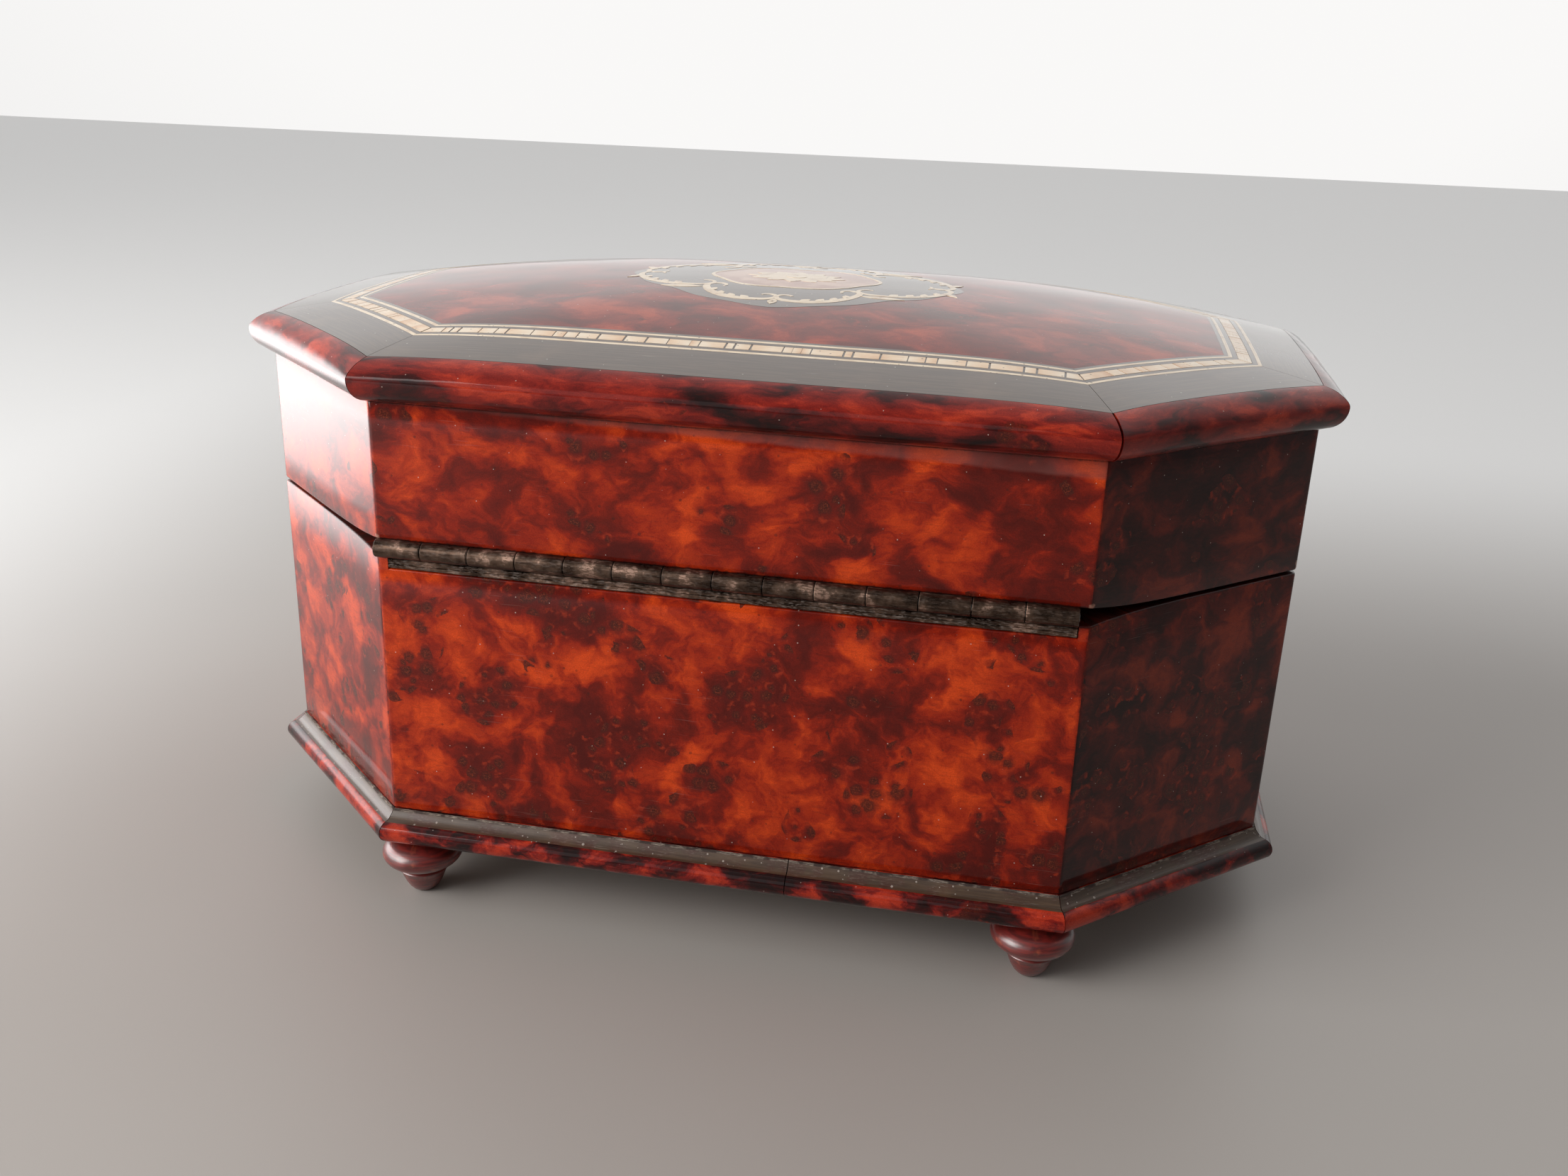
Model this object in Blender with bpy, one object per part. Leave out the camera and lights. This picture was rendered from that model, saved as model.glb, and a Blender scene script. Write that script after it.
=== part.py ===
"""Eight-sided veneered keepsake box with a domed, hinged lid, a piano hinge and a small mortise lock.

Frame: metres, +Z up, the feet stand on z = 0, the long sides run along X.
The hinge side faces +Y ("back"), the lock side faces -Y ("front"), and "right" is +X.
"""

import math

import bpy
from mathutils import Matrix, Vector

# ---- driving dimensions, in metres -------------------------------------------------------------
BODY_LENGTH = 0.280          # across the two short ends, over the wall veneer
BODY_WIDTH = 0.179           # across the hinge side and the lock side
LONG_SIDE = 0.1766           # corner to corner along the hinge side
SHORT_SIDE = 0.0814          # corner to corner along an end

FOOT_HEIGHT = 0.0174
WALL_BOTTOM = 0.0260         # top of the base, where the walls stand
SEAM = 0.1000                # height of the hinge axis and the middle of the seam
LID_WALL_TOP = 0.1375
DOME_EDGE = 0.1492           # lid top at the middle of a side
DOME_RISE = 0.0112
DOME_SQUARENESS = 14         # how closely the dome's contour lines follow the octagon

WALL_THICKNESS = 0.009
SEAM_HALF_GAP = 0.0004       # lid to body, each way from SEAM, along the front and ends
HINGE_RELIEF = 0.0019        # further opening of the seam, each way, where it reaches the hinge side
RELIEF_POWER = 4             # how late the rims start to open
FIT_GAP = 0.0003             # clearance between pieces that touch
MITRE_SHIFT = 0.0002         # each mitred end stops this far short of the corner

MOULDING_REACH = 0.0060      # lid moulding, out from the wall
BASE_REACH = 0.0056          # base moulding, out from the wall
BASE_BUTT_JOINT = -0.0197    # x where the hinge side's base moulding is pieced from two lengths

VENEER = 0.0010
BORDER_INSET = 0.00065       # ebonised border, its outer edge, in from the wall plane
BANDING = (                  # name, outer inset, inner inset, material
    ("lid_border", BORDER_INSET, 0.0145, "ebonised_wood"),
    ("string_outer", 0.0148, 0.0156, "maple"),
    ("ebony_line_outer", 0.0159, 0.0169, "ebonised_wood"),
    ("block_band", 0.0172, 0.0204, "maple"),
    ("ebony_line_inner", 0.0207, 0.0217, "ebonised_wood"),
    ("string_inner", 0.0220, 0.0228, "maple"),
)
FIELD_INSET = 0.0231
CARTOUCHE_HALF_LENGTH = 0.0470
CARTOUCHE_HALF_WIDTH = 0.0400

KNUCKLES = 14
KNUCKLE_PITCH = 0.01245
HINGE_MIDDLE_X = 0.0013
HINGE_PROUD = 0.0004         # hinge axis, out from the wall plane
BARREL_RADIUS = 0.0023
PIN_RADIUS = 0.0010
PIN_BORE_RADIUS = 0.0011
LEAF_THICKNESS = 0.0009
LEAF_OFFSET = 0.0010         # hinge axis to the near face of a leaf
LEAF_WIDTH = 0.0052
LEAF_HALF_LENGTH = 0.0855    # the leaves stop short of the corner mitres
FLANGE_DEPTH = 0.0033        # down-turned lip of the lower leaf on the wall's face
FLANGE_THICKNESS = 0.0030

LOCK_HALF_LENGTH = 0.0190
LOCK_DEPTH = 0.0200
LOCK_WIDTH = 0.0064
LOCK_SHEET = 0.0008          # wall of the lock case
LOCK_PLATE = 0.0012          # thickness of the lock's and the keeper's rim plates
LOCK_PLATE_HALF_LENGTH = 0.0240
LOOP_SPACING = 0.0180        # between the keeper's two loops
LOOP_HALF_LENGTH = 0.0010
LOOP_HALF_WIDTH = 0.0018
LOOP_DROP = 0.0074           # how far a loop reaches into the lock
LOOP_HOLE_HALF_WIDTH = 0.0009
LOOP_HOLE_LOW = 0.0061       # the hole in a loop, below the lock's rim plate
LOOP_HOLE_HIGH = 0.0037
BOLT_THROW = 0.0040
BOLT_BAR_TOP = 0.0095        # below the lock's rim plate, clear of the loops

PAD_THICKNESS = 0.0075
LINING_THICKNESS = 0.0012
RIM_STEPS = 10               # divisions of the rims that flare at the hinge
DOME_STEPS = 8               # divisions of each side of the octagon on the domed pieces
ROUND_STEPS = 24             # divisions of a full turn on round pieces

# ---- the octagon -------------------------------------------------------------------------------
SIDES = ("right", "back_right", "back", "back_left", "left", "front_left", "front", "front_right")
CHAMFER_NORMAL = Vector((BODY_WIDTH - SHORT_SIDE, BODY_LENGTH - LONG_SIDE)).normalized()
CHAMFER_DISTANCE = CHAMFER_NORMAL.dot(Vector((LONG_SIDE / 2, BODY_WIDTH / 2)))


def side_plane(k):
    """Outward normal and distance of side k of the wall's outer octagon, counted anticlockwise from +X."""
    k = k % 8
    nx, ny = CHAMFER_NORMAL
    return (
        (Vector((1, 0)), BODY_LENGTH / 2),
        (Vector((nx, ny)), CHAMFER_DISTANCE),
        (Vector((0, 1)), BODY_WIDTH / 2),
        (Vector((-nx, ny)), CHAMFER_DISTANCE),
        (Vector((-1, 0)), BODY_LENGTH / 2),
        (Vector((-nx, -ny)), CHAMFER_DISTANCE),
        (Vector((0, -1)), BODY_WIDTH / 2),
        (Vector((nx, -ny)), CHAMFER_DISTANCE),
    )[k]


def corner(k, offset):
    """Where sides k and k+1 meet, both moved outwards by offset."""
    n1, d1 = side_plane(k)
    n2, d2 = side_plane(k + 1)
    d1 += offset
    d2 += offset
    det = n1.x * n2.y - n1.y * n2.x
    return Vector(((d1 * n2.y - d2 * n1.y) / det, (n1.x * d2 - n2.x * d1) / det))


def dome(x, y):
    """Height of the lid's top surface: a flat pillow whose contours pass from octagon to oval."""
    total = 0.0
    for k in range(4):
        normal, distance = side_plane(k)
        total += abs((normal.x * x + normal.y * y) / distance) ** DOME_SQUARENESS
    gauge = total ** (1 / DOME_SQUARENESS)
    return DOME_EDGE + DOME_RISE * (1 - gauge * gauge)


def seam_relief(y):
    """How far the rims draw back from the seam: level, then flaring close to the hinge."""
    start = SHORT_SIDE / 2
    return HINGE_RELIEF * max(0.0, (y - start) / (BODY_WIDTH / 2 - start)) ** RELIEF_POWER


def body_rim(x, y):
    return SEAM - SEAM_HALF_GAP - seam_relief(y)


def lid_rim(x, y):
    return SEAM + SEAM_HALF_GAP + seam_relief(y)


# ---- small mesh tools --------------------------------------------------------------------------
def clear_scene():
    for obj in list(bpy.data.objects):
        bpy.data.objects.remove(obj)


def make_materials():
    """Name, base colour, roughness, metallic."""
    table = {
        "burl_veneer": ((0.36, 0.05, 0.015), 0.25, 0.0),
        "burl_moulding": ((0.22, 0.025, 0.012), 0.25, 0.0),
        "ebonised_wood": ((0.035, 0.03, 0.028), 0.35, 0.0),
        "maple": ((0.72, 0.52, 0.33), 0.4, 0.0),
        "carcass_wood": ((0.30, 0.17, 0.08), 0.6, 0.0),
        "turned_wood": ((0.20, 0.02, 0.015), 0.3, 0.0),
        "old_brass": ((0.20, 0.15, 0.09), 0.45, 0.9),
        "steel": ((0.35, 0.34, 0.32), 0.4, 1.0),
        "silk": ((0.30, 0.02, 0.03), 0.7, 0.0),
    }
    made = {}
    for name, (colour, roughness, metallic) in table.items():
        material = bpy.data.materials.new(name)
        material.use_nodes = True
        shader = material.node_tree.nodes["Principled BSDF"]
        shader.inputs["Base Color"].default_value = (*colour, 1)
        shader.inputs["Roughness"].default_value = roughness
        shader.inputs["Metallic"].default_value = metallic
        made[name] = material
    return made


def add_object(name, points, faces, material, smooth=False, parent=None):
    mesh = bpy.data.meshes.new(name)
    mesh.from_pydata([tuple(p) for p in points], [], faces)
    mesh.validate()
    if smooth:
        mesh.shade_smooth()
        mesh.set_sharp_from_angle(angle=math.radians(35))
    obj = bpy.data.objects.new(name, mesh)
    bpy.context.scene.collection.objects.link(obj)
    if material:
        mesh.materials.append(MATERIALS[material])
    if parent:
        obj.parent = parent
        obj.matrix_parent_inverse = Matrix.Translation(-parent.location)
    return obj


def tube_faces(rings, sides, closed_ends=True):
    """Faces joining `rings` loops of `sides` points each; the loops turn so that faces point out."""
    faces = []
    for r in range(rings - 1):
        for s in range(sides):
            t = (s + 1) % sides
            faces.append((r * sides + s, r * sides + t, (r + 1) * sides + t, (r + 1) * sides + s))
    if closed_ends:
        faces.append(tuple(reversed(range(sides))))
        faces.append(tuple((rings - 1) * sides + s for s in range(sides)))
    return faces


def box(name, low, high, material=None, parent=None):
    (x0, y0, z0), (x1, y1, z1) = low, high
    points = [(x, y, z) for x in (x0, x1) for y, z in ((y0, z0), (y1, z0), (y1, z1), (y0, z1))]
    return add_object(name, points, tube_faces(2, 4), material, parent=parent)


def cylinder_x(name, radius, x0, x1, y, z, material=None, steps=ROUND_STEPS, parent=None):
    points = []
    for x in (x0, x1):
        for s in range(steps):
            angle = 2 * math.pi * s / steps
            points.append((x, y + radius * math.cos(angle), z + radius * math.sin(angle)))
    return add_object(name, points, tube_faces(2, steps), material, smooth=True, parent=parent)


def boolean(target, operation, tools):
    """Joins or cuts target by each tool, then drops the tools."""
    for tool in tools:
        modifier = target.modifiers.new(operation.lower(), "BOOLEAN")
        modifier.operation = operation
        modifier.object = tool
        tool.hide_render = True
        tool.display_type = "WIRE"
    graph = bpy.context.evaluated_depsgraph_get()
    shaped = bpy.data.meshes.new_from_object(target.evaluated_get(graph))
    target.modifiers.clear()
    target.data = shaped
    for tool in tools:
        bpy.data.objects.remove(tool)
    return target


# ---- lengths, rings and plates on the octagon --------------------------------------------------
def mitred_length(name, k, profile, material, steps=1, ends=(None, None), smooth=False, parent=None):
    """A straight length along side k whose section is profile, mitred at both corners.

    A profile point is (offset out from the wall plane, height), anticlockwise when seen with the
    outside to the right; the height may be a function of x and y. An end given as a distance from
    the side's middle is cut square there instead of mitred.
    """
    normal, distance = side_plane(k)
    along = Vector((-normal.y, normal.x))
    points = []
    for step in range(steps + 1):
        share = step / steps
        for offset, height in profile:
            foot = normal * (distance + offset)
            start = (corner(k - 1, offset) - foot).dot(along) + MITRE_SHIFT
            end = (corner(k, offset) - foot).dot(along) - MITRE_SHIFT
            if ends[0] is not None:
                start = ends[0]
            if ends[1] is not None:
                end = ends[1]
            place = foot + along * (start + (end - start) * share)
            z = height(place.x, place.y) if callable(height) else height
            points.append((place.x, place.y, z))
    faces = [tuple(reversed(f)) for f in tube_faces(steps + 1, len(profile))]
    return add_object(name, points, faces, material, smooth=smooth, parent=parent)


def octagon_loop(offset, steps):
    """Points round the octagon moved outwards by offset, `steps` to a side, anticlockwise."""
    loop = []
    for k in range(8):
        start, end = corner(k - 1, offset), corner(k, offset)
        loop += [start.lerp(end, s / steps) for s in range(steps)]
    return loop


def surface_points(loop, height):
    return [(p.x, p.y, height(p.x, p.y) if callable(height) else height) for p in loop]


def ring(name, outer, inner, top, bottom, material, parent=None):
    """A closed ring between two loops with the same number of points."""
    count = len(outer)
    points = (
        surface_points(outer, bottom)
        + surface_points(outer, top)
        + surface_points(inner, top)
        + surface_points(inner, bottom)
    )
    faces = []
    for band in range(4):
        low, high = band * count, ((band + 1) % 4) * count
        for s in range(count):
            t = (s + 1) % count
            faces.append((low + s, low + t, high + t, high + s))
    return add_object(name, points, faces, material, parent=parent)


def plate(name, loops, top, bottom, material, parent=None):
    """A closed slab whose top follows nested loops, outermost first, to a middle point."""
    count = len(loops[0])
    middle = Vector((0, 0))
    points = surface_points(loops[0], bottom)
    for loop in loops:
        points += surface_points(loop, top)
    faces = tube_faces(len(loops) + 1, count, closed_ends=False)
    points += surface_points([middle], top)
    last = len(loops) * count
    faces += [(last + s, last + (s + 1) % count, len(points) - 1) for s in range(count)]
    if callable(bottom):
        under = len(points)
        for loop in loops[1:]:
            points += surface_points(loop, bottom)
        starts = [0] + [under + i * count for i in range(len(loops) - 1)]
        for outer_start, inner_start in zip(starts, starts[1:]):
            for s in range(count):
                t = (s + 1) % count
                faces.append((outer_start + t, outer_start + s, inner_start + s, inner_start + t))
        points += surface_points([middle], bottom)
        faces += [(starts[-1] + (s + 1) % count, starts[-1] + s, len(points) - 1) for s in range(count)]
    else:
        faces.append(tuple(reversed(range(count))))
    return add_object(name, points, faces, material, smooth=True, parent=parent)


def octagon_prism(name, inset, low, high, material, parent=None):
    loop = octagon_loop(-inset, 1)
    points = surface_points(loop, low) + surface_points(loop, high)
    return add_object(name, points, tube_faces(2, 8), material, parent=parent)


def arc(centre, radii, start_degrees, end_degrees, steps):
    """Points of an elliptical arc in the (offset, height) plane."""
    points = []
    for s in range(steps + 1):
        angle = math.radians(start_degrees + (end_degrees - start_degrees) * s / steps)
        points.append((centre[0] + radii[0] * math.cos(angle), centre[1] + radii[1] * math.sin(angle)))
    return points


# ---- base and lower body -----------------------------------------------------------------------
def base_moulding_profile():
    """A bead along the foot of the base, a hollow above it and a small square at the wall."""
    inner = -0.0027
    bead_centre = (BASE_REACH - 0.0028, FOOT_HEIGHT + 0.0030)
    bead = arc(bead_centre, (0.0028, 0.0030), -90, 75, 9)
    hollow_foot = (bead[-1][0] - 0.0004, bead[-1][1] + 0.0002)
    return [
        (inner, FOOT_HEIGHT),
        *bead,
        hollow_foot,
        (0.0016, WALL_BOTTOM - 0.0020),
        (0.0008, WALL_BOTTOM - 0.0010),
        (0.0007, WALL_BOTTOM - 0.0003),
        (inner, WALL_BOTTOM - 0.0003),
    ]


def make_base():
    octagon_prism("base_board", 0.0030, FOOT_HEIGHT, WALL_BOTTOM - FIT_GAP, "carcass_wood")
    for k, side in enumerate(SIDES):
        if side != "back":
            mitred_length("base_moulding_" + side, k, base_moulding_profile(), "burl_moulding", smooth=True)
    back = SIDES.index("back")
    butt = -BASE_BUTT_JOINT
    for name, ends in (
        ("base_moulding_back_long", (None, butt - FIT_GAP / 2)),
        ("base_moulding_back_short", (butt + FIT_GAP / 2, None)),
    ):
        mitred_length(name, back, base_moulding_profile(), "burl_moulding", ends=ends, smooth=True)


def foot_profile():
    """Radius and height up the turned foot: a cup, a nicked neck and a flattened bun."""
    cup = [(0.0030, 0.0), (0.0044, 0.0010), (0.0056, 0.0032), (0.0062, 0.0058)]
    neck = [(0.0060, 0.0064), (0.0072, 0.0070)]
    bun = [(r, z + 0.0115) for r, z in arc((0, 0), (0.0108, 0.0046), -52, 70, 9)]
    return [*cup, *neck, *bun, (0.0040, FOOT_HEIGHT - FIT_GAP)]


def make_feet():
    spots = {"back_right": (1, 1), "back_left": (-1, 1), "front_left": (-1, -1), "front_right": (1, -1)}
    profile = foot_profile()
    for place, (sx, sy) in spots.items():
        points = []
        for radius, z in profile:
            for s in range(ROUND_STEPS):
                angle = 2 * math.pi * s / ROUND_STEPS
                points.append((radius * math.cos(angle), radius * math.sin(angle), z))
        foot = add_object(
            "foot_" + place, points, tube_faces(len(profile), ROUND_STEPS), "turned_wood", smooth=True
        )
        foot.location = (sx * 0.0829, sy * 0.0850, 0)


def rim_steps(side):
    return RIM_STEPS if side in ("back_right", "back_left") else 1


def plain_wall_profile(bottom, top):
    return [(-WALL_THICKNESS, bottom), (0, bottom), (0, top), (-WALL_THICKNESS, top)]


def back_wall_profile():
    """The hinge side's wall: lowered for the leaf, with a rebate in its face for the leaf's lip."""
    leaf_seat = SEAM - LEAF_OFFSET - LEAF_THICKNESS - FIT_GAP
    lip_bottom = SEAM - LEAF_OFFSET - LEAF_THICKNESS - FLANGE_DEPTH - FIT_GAP
    rebate = -FLANGE_THICKNESS - FIT_GAP
    return [
        (-WALL_THICKNESS, WALL_BOTTOM),
        (0, WALL_BOTTOM),
        (0, lip_bottom),
        (rebate, lip_bottom),
        (rebate, leaf_seat),
        (-WALL_THICKNESS, leaf_seat),
    ]


def make_walls():
    for k, side in enumerate(SIDES):
        profile = back_wall_profile() if side == "back" else plain_wall_profile(WALL_BOTTOM, body_rim)
        wall = mitred_length("wall_" + side, k, profile, "burl_veneer", steps=rim_steps(side))
        if side == "front":
            cut_lock_mortise(wall)


# ---- piano hinge -------------------------------------------------------------------------------
HINGE_Y = BODY_WIDTH / 2 + HINGE_PROUD
HINGE_START = HINGE_MIDDLE_X - KNUCKLES * KNUCKLE_PITCH / 2
HINGE_END = HINGE_START + KNUCKLES * KNUCKLE_PITCH
LEAF_START = max(HINGE_START, -LEAF_HALF_LENGTH)
LEAF_END = min(HINGE_END, LEAF_HALF_LENGTH)


def hinge_leaf(name, first, direction, material, parent=None):
    """A leaf with every second knuckle, from number `first`; direction is -1 below, +1 above."""
    near = SEAM + direction * LEAF_OFFSET
    far = near + direction * LEAF_THICKNESS
    low, high = min(near, far), max(near, far)
    clear_of_barrel = HINGE_Y - BARREL_RADIUS - FIT_GAP
    leaf = box(
        name, (LEAF_START, BODY_WIDTH / 2 - LEAF_WIDTH, low), (LEAF_END, clear_of_barrel, high), material, parent
    )
    parts = []
    for n in range(first, KNUCKLES, 2):
        start = HINGE_START + n * KNUCKLE_PITCH + FIT_GAP / 2
        end = start + KNUCKLE_PITCH - FIT_GAP
        parts.append(box("web", (start, clear_of_barrel - 0.0004, low), (end, HINGE_Y, high)))
        parts.append(cylinder_x("knuckle", BARREL_RADIUS, start, end, HINGE_Y, SEAM))
    boolean(leaf, "UNION", parts)
    bore = cylinder_x("bore", PIN_BORE_RADIUS, HINGE_START - 0.01, HINGE_END + 0.01, HINGE_Y, SEAM)
    boolean(leaf, "DIFFERENCE", [bore])
    leaf.data.shade_smooth()
    leaf.data.set_sharp_from_angle(angle=math.radians(35))
    return leaf


def make_hinge(lid_axis):
    lower = hinge_leaf("hinge_lower_leaf", 0, -1, "old_brass")
    top = SEAM - LEAF_OFFSET - LEAF_THICKNESS
    face = BODY_WIDTH / 2
    lip = box(
        "lip",
        (LEAF_START, face - FLANGE_THICKNESS, top - FLANGE_DEPTH),
        (LEAF_END, face, top + LEAF_THICKNESS / 2),
    )
    clearance = cylinder_x(
        "clearance", BARREL_RADIUS + FIT_GAP, LEAF_START - 0.01, LEAF_END + 0.01, HINGE_Y, SEAM
    )
    boolean(lip, "DIFFERENCE", [clearance])
    boolean(lower, "UNION", [lip])
    hinge_leaf("hinge_upper_leaf", 1, 1, "old_brass", lid_axis)
    cylinder_x("hinge_pin", PIN_RADIUS, HINGE_START, HINGE_END, HINGE_Y, SEAM, "steel")


# ---- lock --------------------------------------------------------------------------------------
LOCK_INNER_Y = -BODY_WIDTH / 2 + WALL_THICKNESS
LOCK_OUTER_Y = LOCK_INNER_Y - LOCK_WIDTH
LOCK_TOP = SEAM - SEAM_HALF_GAP
KEYHOLE_Z = SEAM - 0.0150
BOLT_Y = (LOCK_INNER_Y + LOCK_OUTER_Y) / 2


def keyhole_cutter(y0, y1, slack):
    """A round hole above a narrower slot, run along Y."""
    radius = 0.0016 + slack
    half_slot = 0.0008 + slack
    foot = KEYHOLE_Z - 0.0052 - slack
    outline = [
        (radius * math.cos(math.radians(a)), KEYHOLE_Z + radius * math.sin(math.radians(a)))
        for a in range(-60, 241, 30)
    ]
    outline += [(-half_slot, foot), (half_slot, foot)]
    points = [(x, y, z) for y in (y1, y0) for x, z in outline]
    return add_object("keyhole", points, tube_faces(2, len(outline)), None)


def cut_lock_mortise(wall):
    pocket = box(
        "pocket",
        (-LOCK_HALF_LENGTH - FIT_GAP, LOCK_OUTER_Y - FIT_GAP, LOCK_TOP - LOCK_DEPTH - FIT_GAP),
        (LOCK_HALF_LENGTH + FIT_GAP, LOCK_INNER_Y + 0.01, LOCK_TOP + 0.01),
    )
    plate_seat = box(
        "plate_seat",
        (-LOCK_PLATE_HALF_LENGTH - FIT_GAP, LOCK_OUTER_Y - FIT_GAP, LOCK_TOP - LOCK_PLATE - FIT_GAP),
        (LOCK_PLATE_HALF_LENGTH + FIT_GAP, LOCK_INNER_Y + 0.01, LOCK_TOP + 0.01),
    )
    keyhole = keyhole_cutter(-BODY_WIDTH / 2 - 0.01, LOCK_OUTER_Y + 0.001, 0.0)
    boolean(wall, "DIFFERENCE", [pocket, plate_seat, keyhole])


def make_lock_case():
    """A thin brass case with a rim plate; two slots take the keeper's loops."""
    case = box(
        "lock_case",
        (-LOCK_HALF_LENGTH, LOCK_OUTER_Y, LOCK_TOP - LOCK_DEPTH),
        (LOCK_HALF_LENGTH, LOCK_INNER_Y, LOCK_TOP - LOCK_PLATE / 2),
        "old_brass",
    )
    rim_plate = box(
        "rim_plate",
        (-LOCK_PLATE_HALF_LENGTH, LOCK_OUTER_Y, LOCK_TOP - LOCK_PLATE),
        (LOCK_PLATE_HALF_LENGTH, LOCK_INNER_Y, LOCK_TOP),
    )
    boolean(case, "UNION", [rim_plate])
    cavity = box(
        "cavity",
        (-LOCK_HALF_LENGTH + LOCK_SHEET, LOCK_OUTER_Y + LOCK_SHEET, LOCK_TOP - LOCK_DEPTH + LOCK_SHEET),
        (LOCK_HALF_LENGTH - LOCK_SHEET, LOCK_INNER_Y - LOCK_SHEET, LOCK_TOP - LOCK_PLATE),
    )
    cuts = [cavity, keyhole_cutter(LOCK_OUTER_Y - 0.01, BOLT_Y, 0.0)]
    slack = 0.0005
    for middle in (-LOOP_SPACING / 2, LOOP_SPACING / 2):
        cuts.append(box(
            "slot",
            (middle - LOOP_HALF_LENGTH - slack, BOLT_Y - LOOP_HALF_WIDTH - slack, LOCK_TOP - LOCK_PLATE - 0.001),
            (middle + LOOP_HALF_LENGTH + slack, BOLT_Y + LOOP_HALF_WIDTH + slack, LOCK_TOP + 0.01),
        ))
    boolean(case, "DIFFERENCE", cuts)


def make_bolt(bolt_slide):
    """A bar below the loops; beside each loop a riser carries a tongue that is thrown through it."""
    bar_half_width = 0.0011
    tongue_half_width = 0.0006
    tongue_low, tongue_high = LOCK_TOP - LOOP_HOLE_LOW + 0.0005, LOCK_TOP - LOOP_HOLE_HIGH - 0.0005
    bar_top = LOCK_TOP - BOLT_BAR_TOP
    bolt = box(
        "lock_bolt",
        (-0.0168, BOLT_Y - bar_half_width, bar_top - 0.0022),
        (0.0120, BOLT_Y + bar_half_width, bar_top),
        "steel",
        bolt_slide,
    )
    parts = []
    for middle in (-LOOP_SPACING / 2, LOOP_SPACING / 2):
        tip = middle - LOOP_HALF_LENGTH - 0.0006
        riser_end = tip - BOLT_THROW - 0.0004
        parts.append(box(
            "riser",
            (riser_end - 0.0018, BOLT_Y - tongue_half_width, bar_top - 0.0010),
            (riser_end, BOLT_Y + tongue_half_width, tongue_high),
        ))
        parts.append(box(
            "tongue",
            (riser_end - 0.0009, BOLT_Y - tongue_half_width, tongue_low),
            (tip, BOLT_Y + tongue_half_width, tongue_high),
        ))
    boolean(bolt, "UNION", parts)


def make_keeper(lid_axis):
    """The lid's rim plate with two loops that drop into the lock; the tongues pass through them."""
    rim = SEAM + SEAM_HALF_GAP
    keeper = box(
        "lock_keeper",
        (-LOCK_PLATE_HALF_LENGTH, LOCK_OUTER_Y, rim),
        (LOCK_PLATE_HALF_LENGTH, LOCK_INNER_Y, rim + LOCK_PLATE),
        "old_brass",
        lid_axis,
    )
    loops = []
    holes = []
    for middle in (-LOOP_SPACING / 2, LOOP_SPACING / 2):
        loops.append(box(
            "loop",
            (middle - LOOP_HALF_LENGTH, BOLT_Y - LOOP_HALF_WIDTH, LOCK_TOP - LOOP_DROP),
            (middle + LOOP_HALF_LENGTH, BOLT_Y + LOOP_HALF_WIDTH, rim + LOCK_PLATE / 2),
        ))
        holes.append(box(
            "hole",
            (middle - 0.003, BOLT_Y - LOOP_HOLE_HALF_WIDTH, LOCK_TOP - LOOP_HOLE_LOW),
            (middle + 0.003, BOLT_Y + LOOP_HOLE_HALF_WIDTH, LOCK_TOP - LOOP_HOLE_HIGH),
        ))
    boolean(keeper, "UNION", loops)
    boolean(keeper, "DIFFERENCE", holes)


def make_escutcheon():
    """A lozenge-cornered brass plate round the keyhole, planted on the veneer."""
    face = -BODY_WIDTH / 2 - FIT_GAP
    outline = [
        (0.0075 * math.cos(math.radians(a)), KEYHOLE_Z - 0.0015 + 0.0105 * math.sin(math.radians(a)))
        for a in range(0, 360, 15)
    ]
    points = [(x, y, z) for y in (face, face - 0.0008) for x, z in outline]
    shield = add_object("escutcheon", points, tube_faces(2, len(outline)), "old_brass", smooth=True)
    boolean(shield, "DIFFERENCE", [keyhole_cutter(face - 0.01, face + 0.01, 0.0002)])


# ---- lid ---------------------------------------------------------------------------------------
def lid_back_wall_profile():
    """The lid's hinge side: its lower outer edge is eased to clear the knuckles."""
    seat = SEAM + LEAF_OFFSET + LEAF_THICKNESS + FIT_GAP
    return [
        (-WALL_THICKNESS, seat),
        (-0.0014, seat),
        (0, seat + 0.0008),
        (0, LID_WALL_TOP),
        (-WALL_THICKNESS, LID_WALL_TOP),
    ]


def make_lid_walls(lid_axis):
    for k, side in enumerate(SIDES):
        profile = lid_back_wall_profile() if side == "back" else plain_wall_profile(lid_rim, LID_WALL_TOP)
        wall = mitred_length(
            "lid_wall_" + side, k, profile, "burl_veneer", steps=rim_steps(side), parent=lid_axis
        )
        if side == "front":
            seat = box(
                "seat",
                (-LOCK_PLATE_HALF_LENGTH - FIT_GAP, LOCK_OUTER_Y - FIT_GAP, SEAM - 0.01),
                (LOCK_PLATE_HALF_LENGTH + FIT_GAP, LOCK_INNER_Y + 0.01, lid_rim(0, 0) + LOCK_PLATE + FIT_GAP),
            )
            boolean(wall, "DIFFERENCE", [seat])


def lid_moulding_profile():
    """A half-round from the wall's face to the border; its upper half rises with the dome."""
    foot = LID_WALL_TOP + FIT_GAP
    half_height = (DOME_EDGE - foot) / 2
    middle = foot + half_height
    inner = -0.00035
    reach = MOULDING_REACH - inner
    under = arc((0.0, middle), (MOULDING_REACH, half_height), -80, 0, 5)
    over = [(inner + reach * math.cos(math.radians(a)), rise_to_dome(middle, a)) for a in range(15, 91, 15)]
    return [(inner, foot), *under, *over]


def rise_to_dome(middle, degrees):
    """Height at an angle round the moulding's upper quarter, from its middle to the dome above."""
    share = math.sin(math.radians(degrees))
    return lambda x, y: middle + share * (dome(x, y) - middle)


def make_lid_moulding(lid_axis):
    for k, side in enumerate(SIDES):
        mitred_length(
            "lid_moulding_" + side, k, lid_moulding_profile(), "burl_moulding",
            steps=DOME_STEPS, smooth=True, parent=lid_axis,
        )


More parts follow.
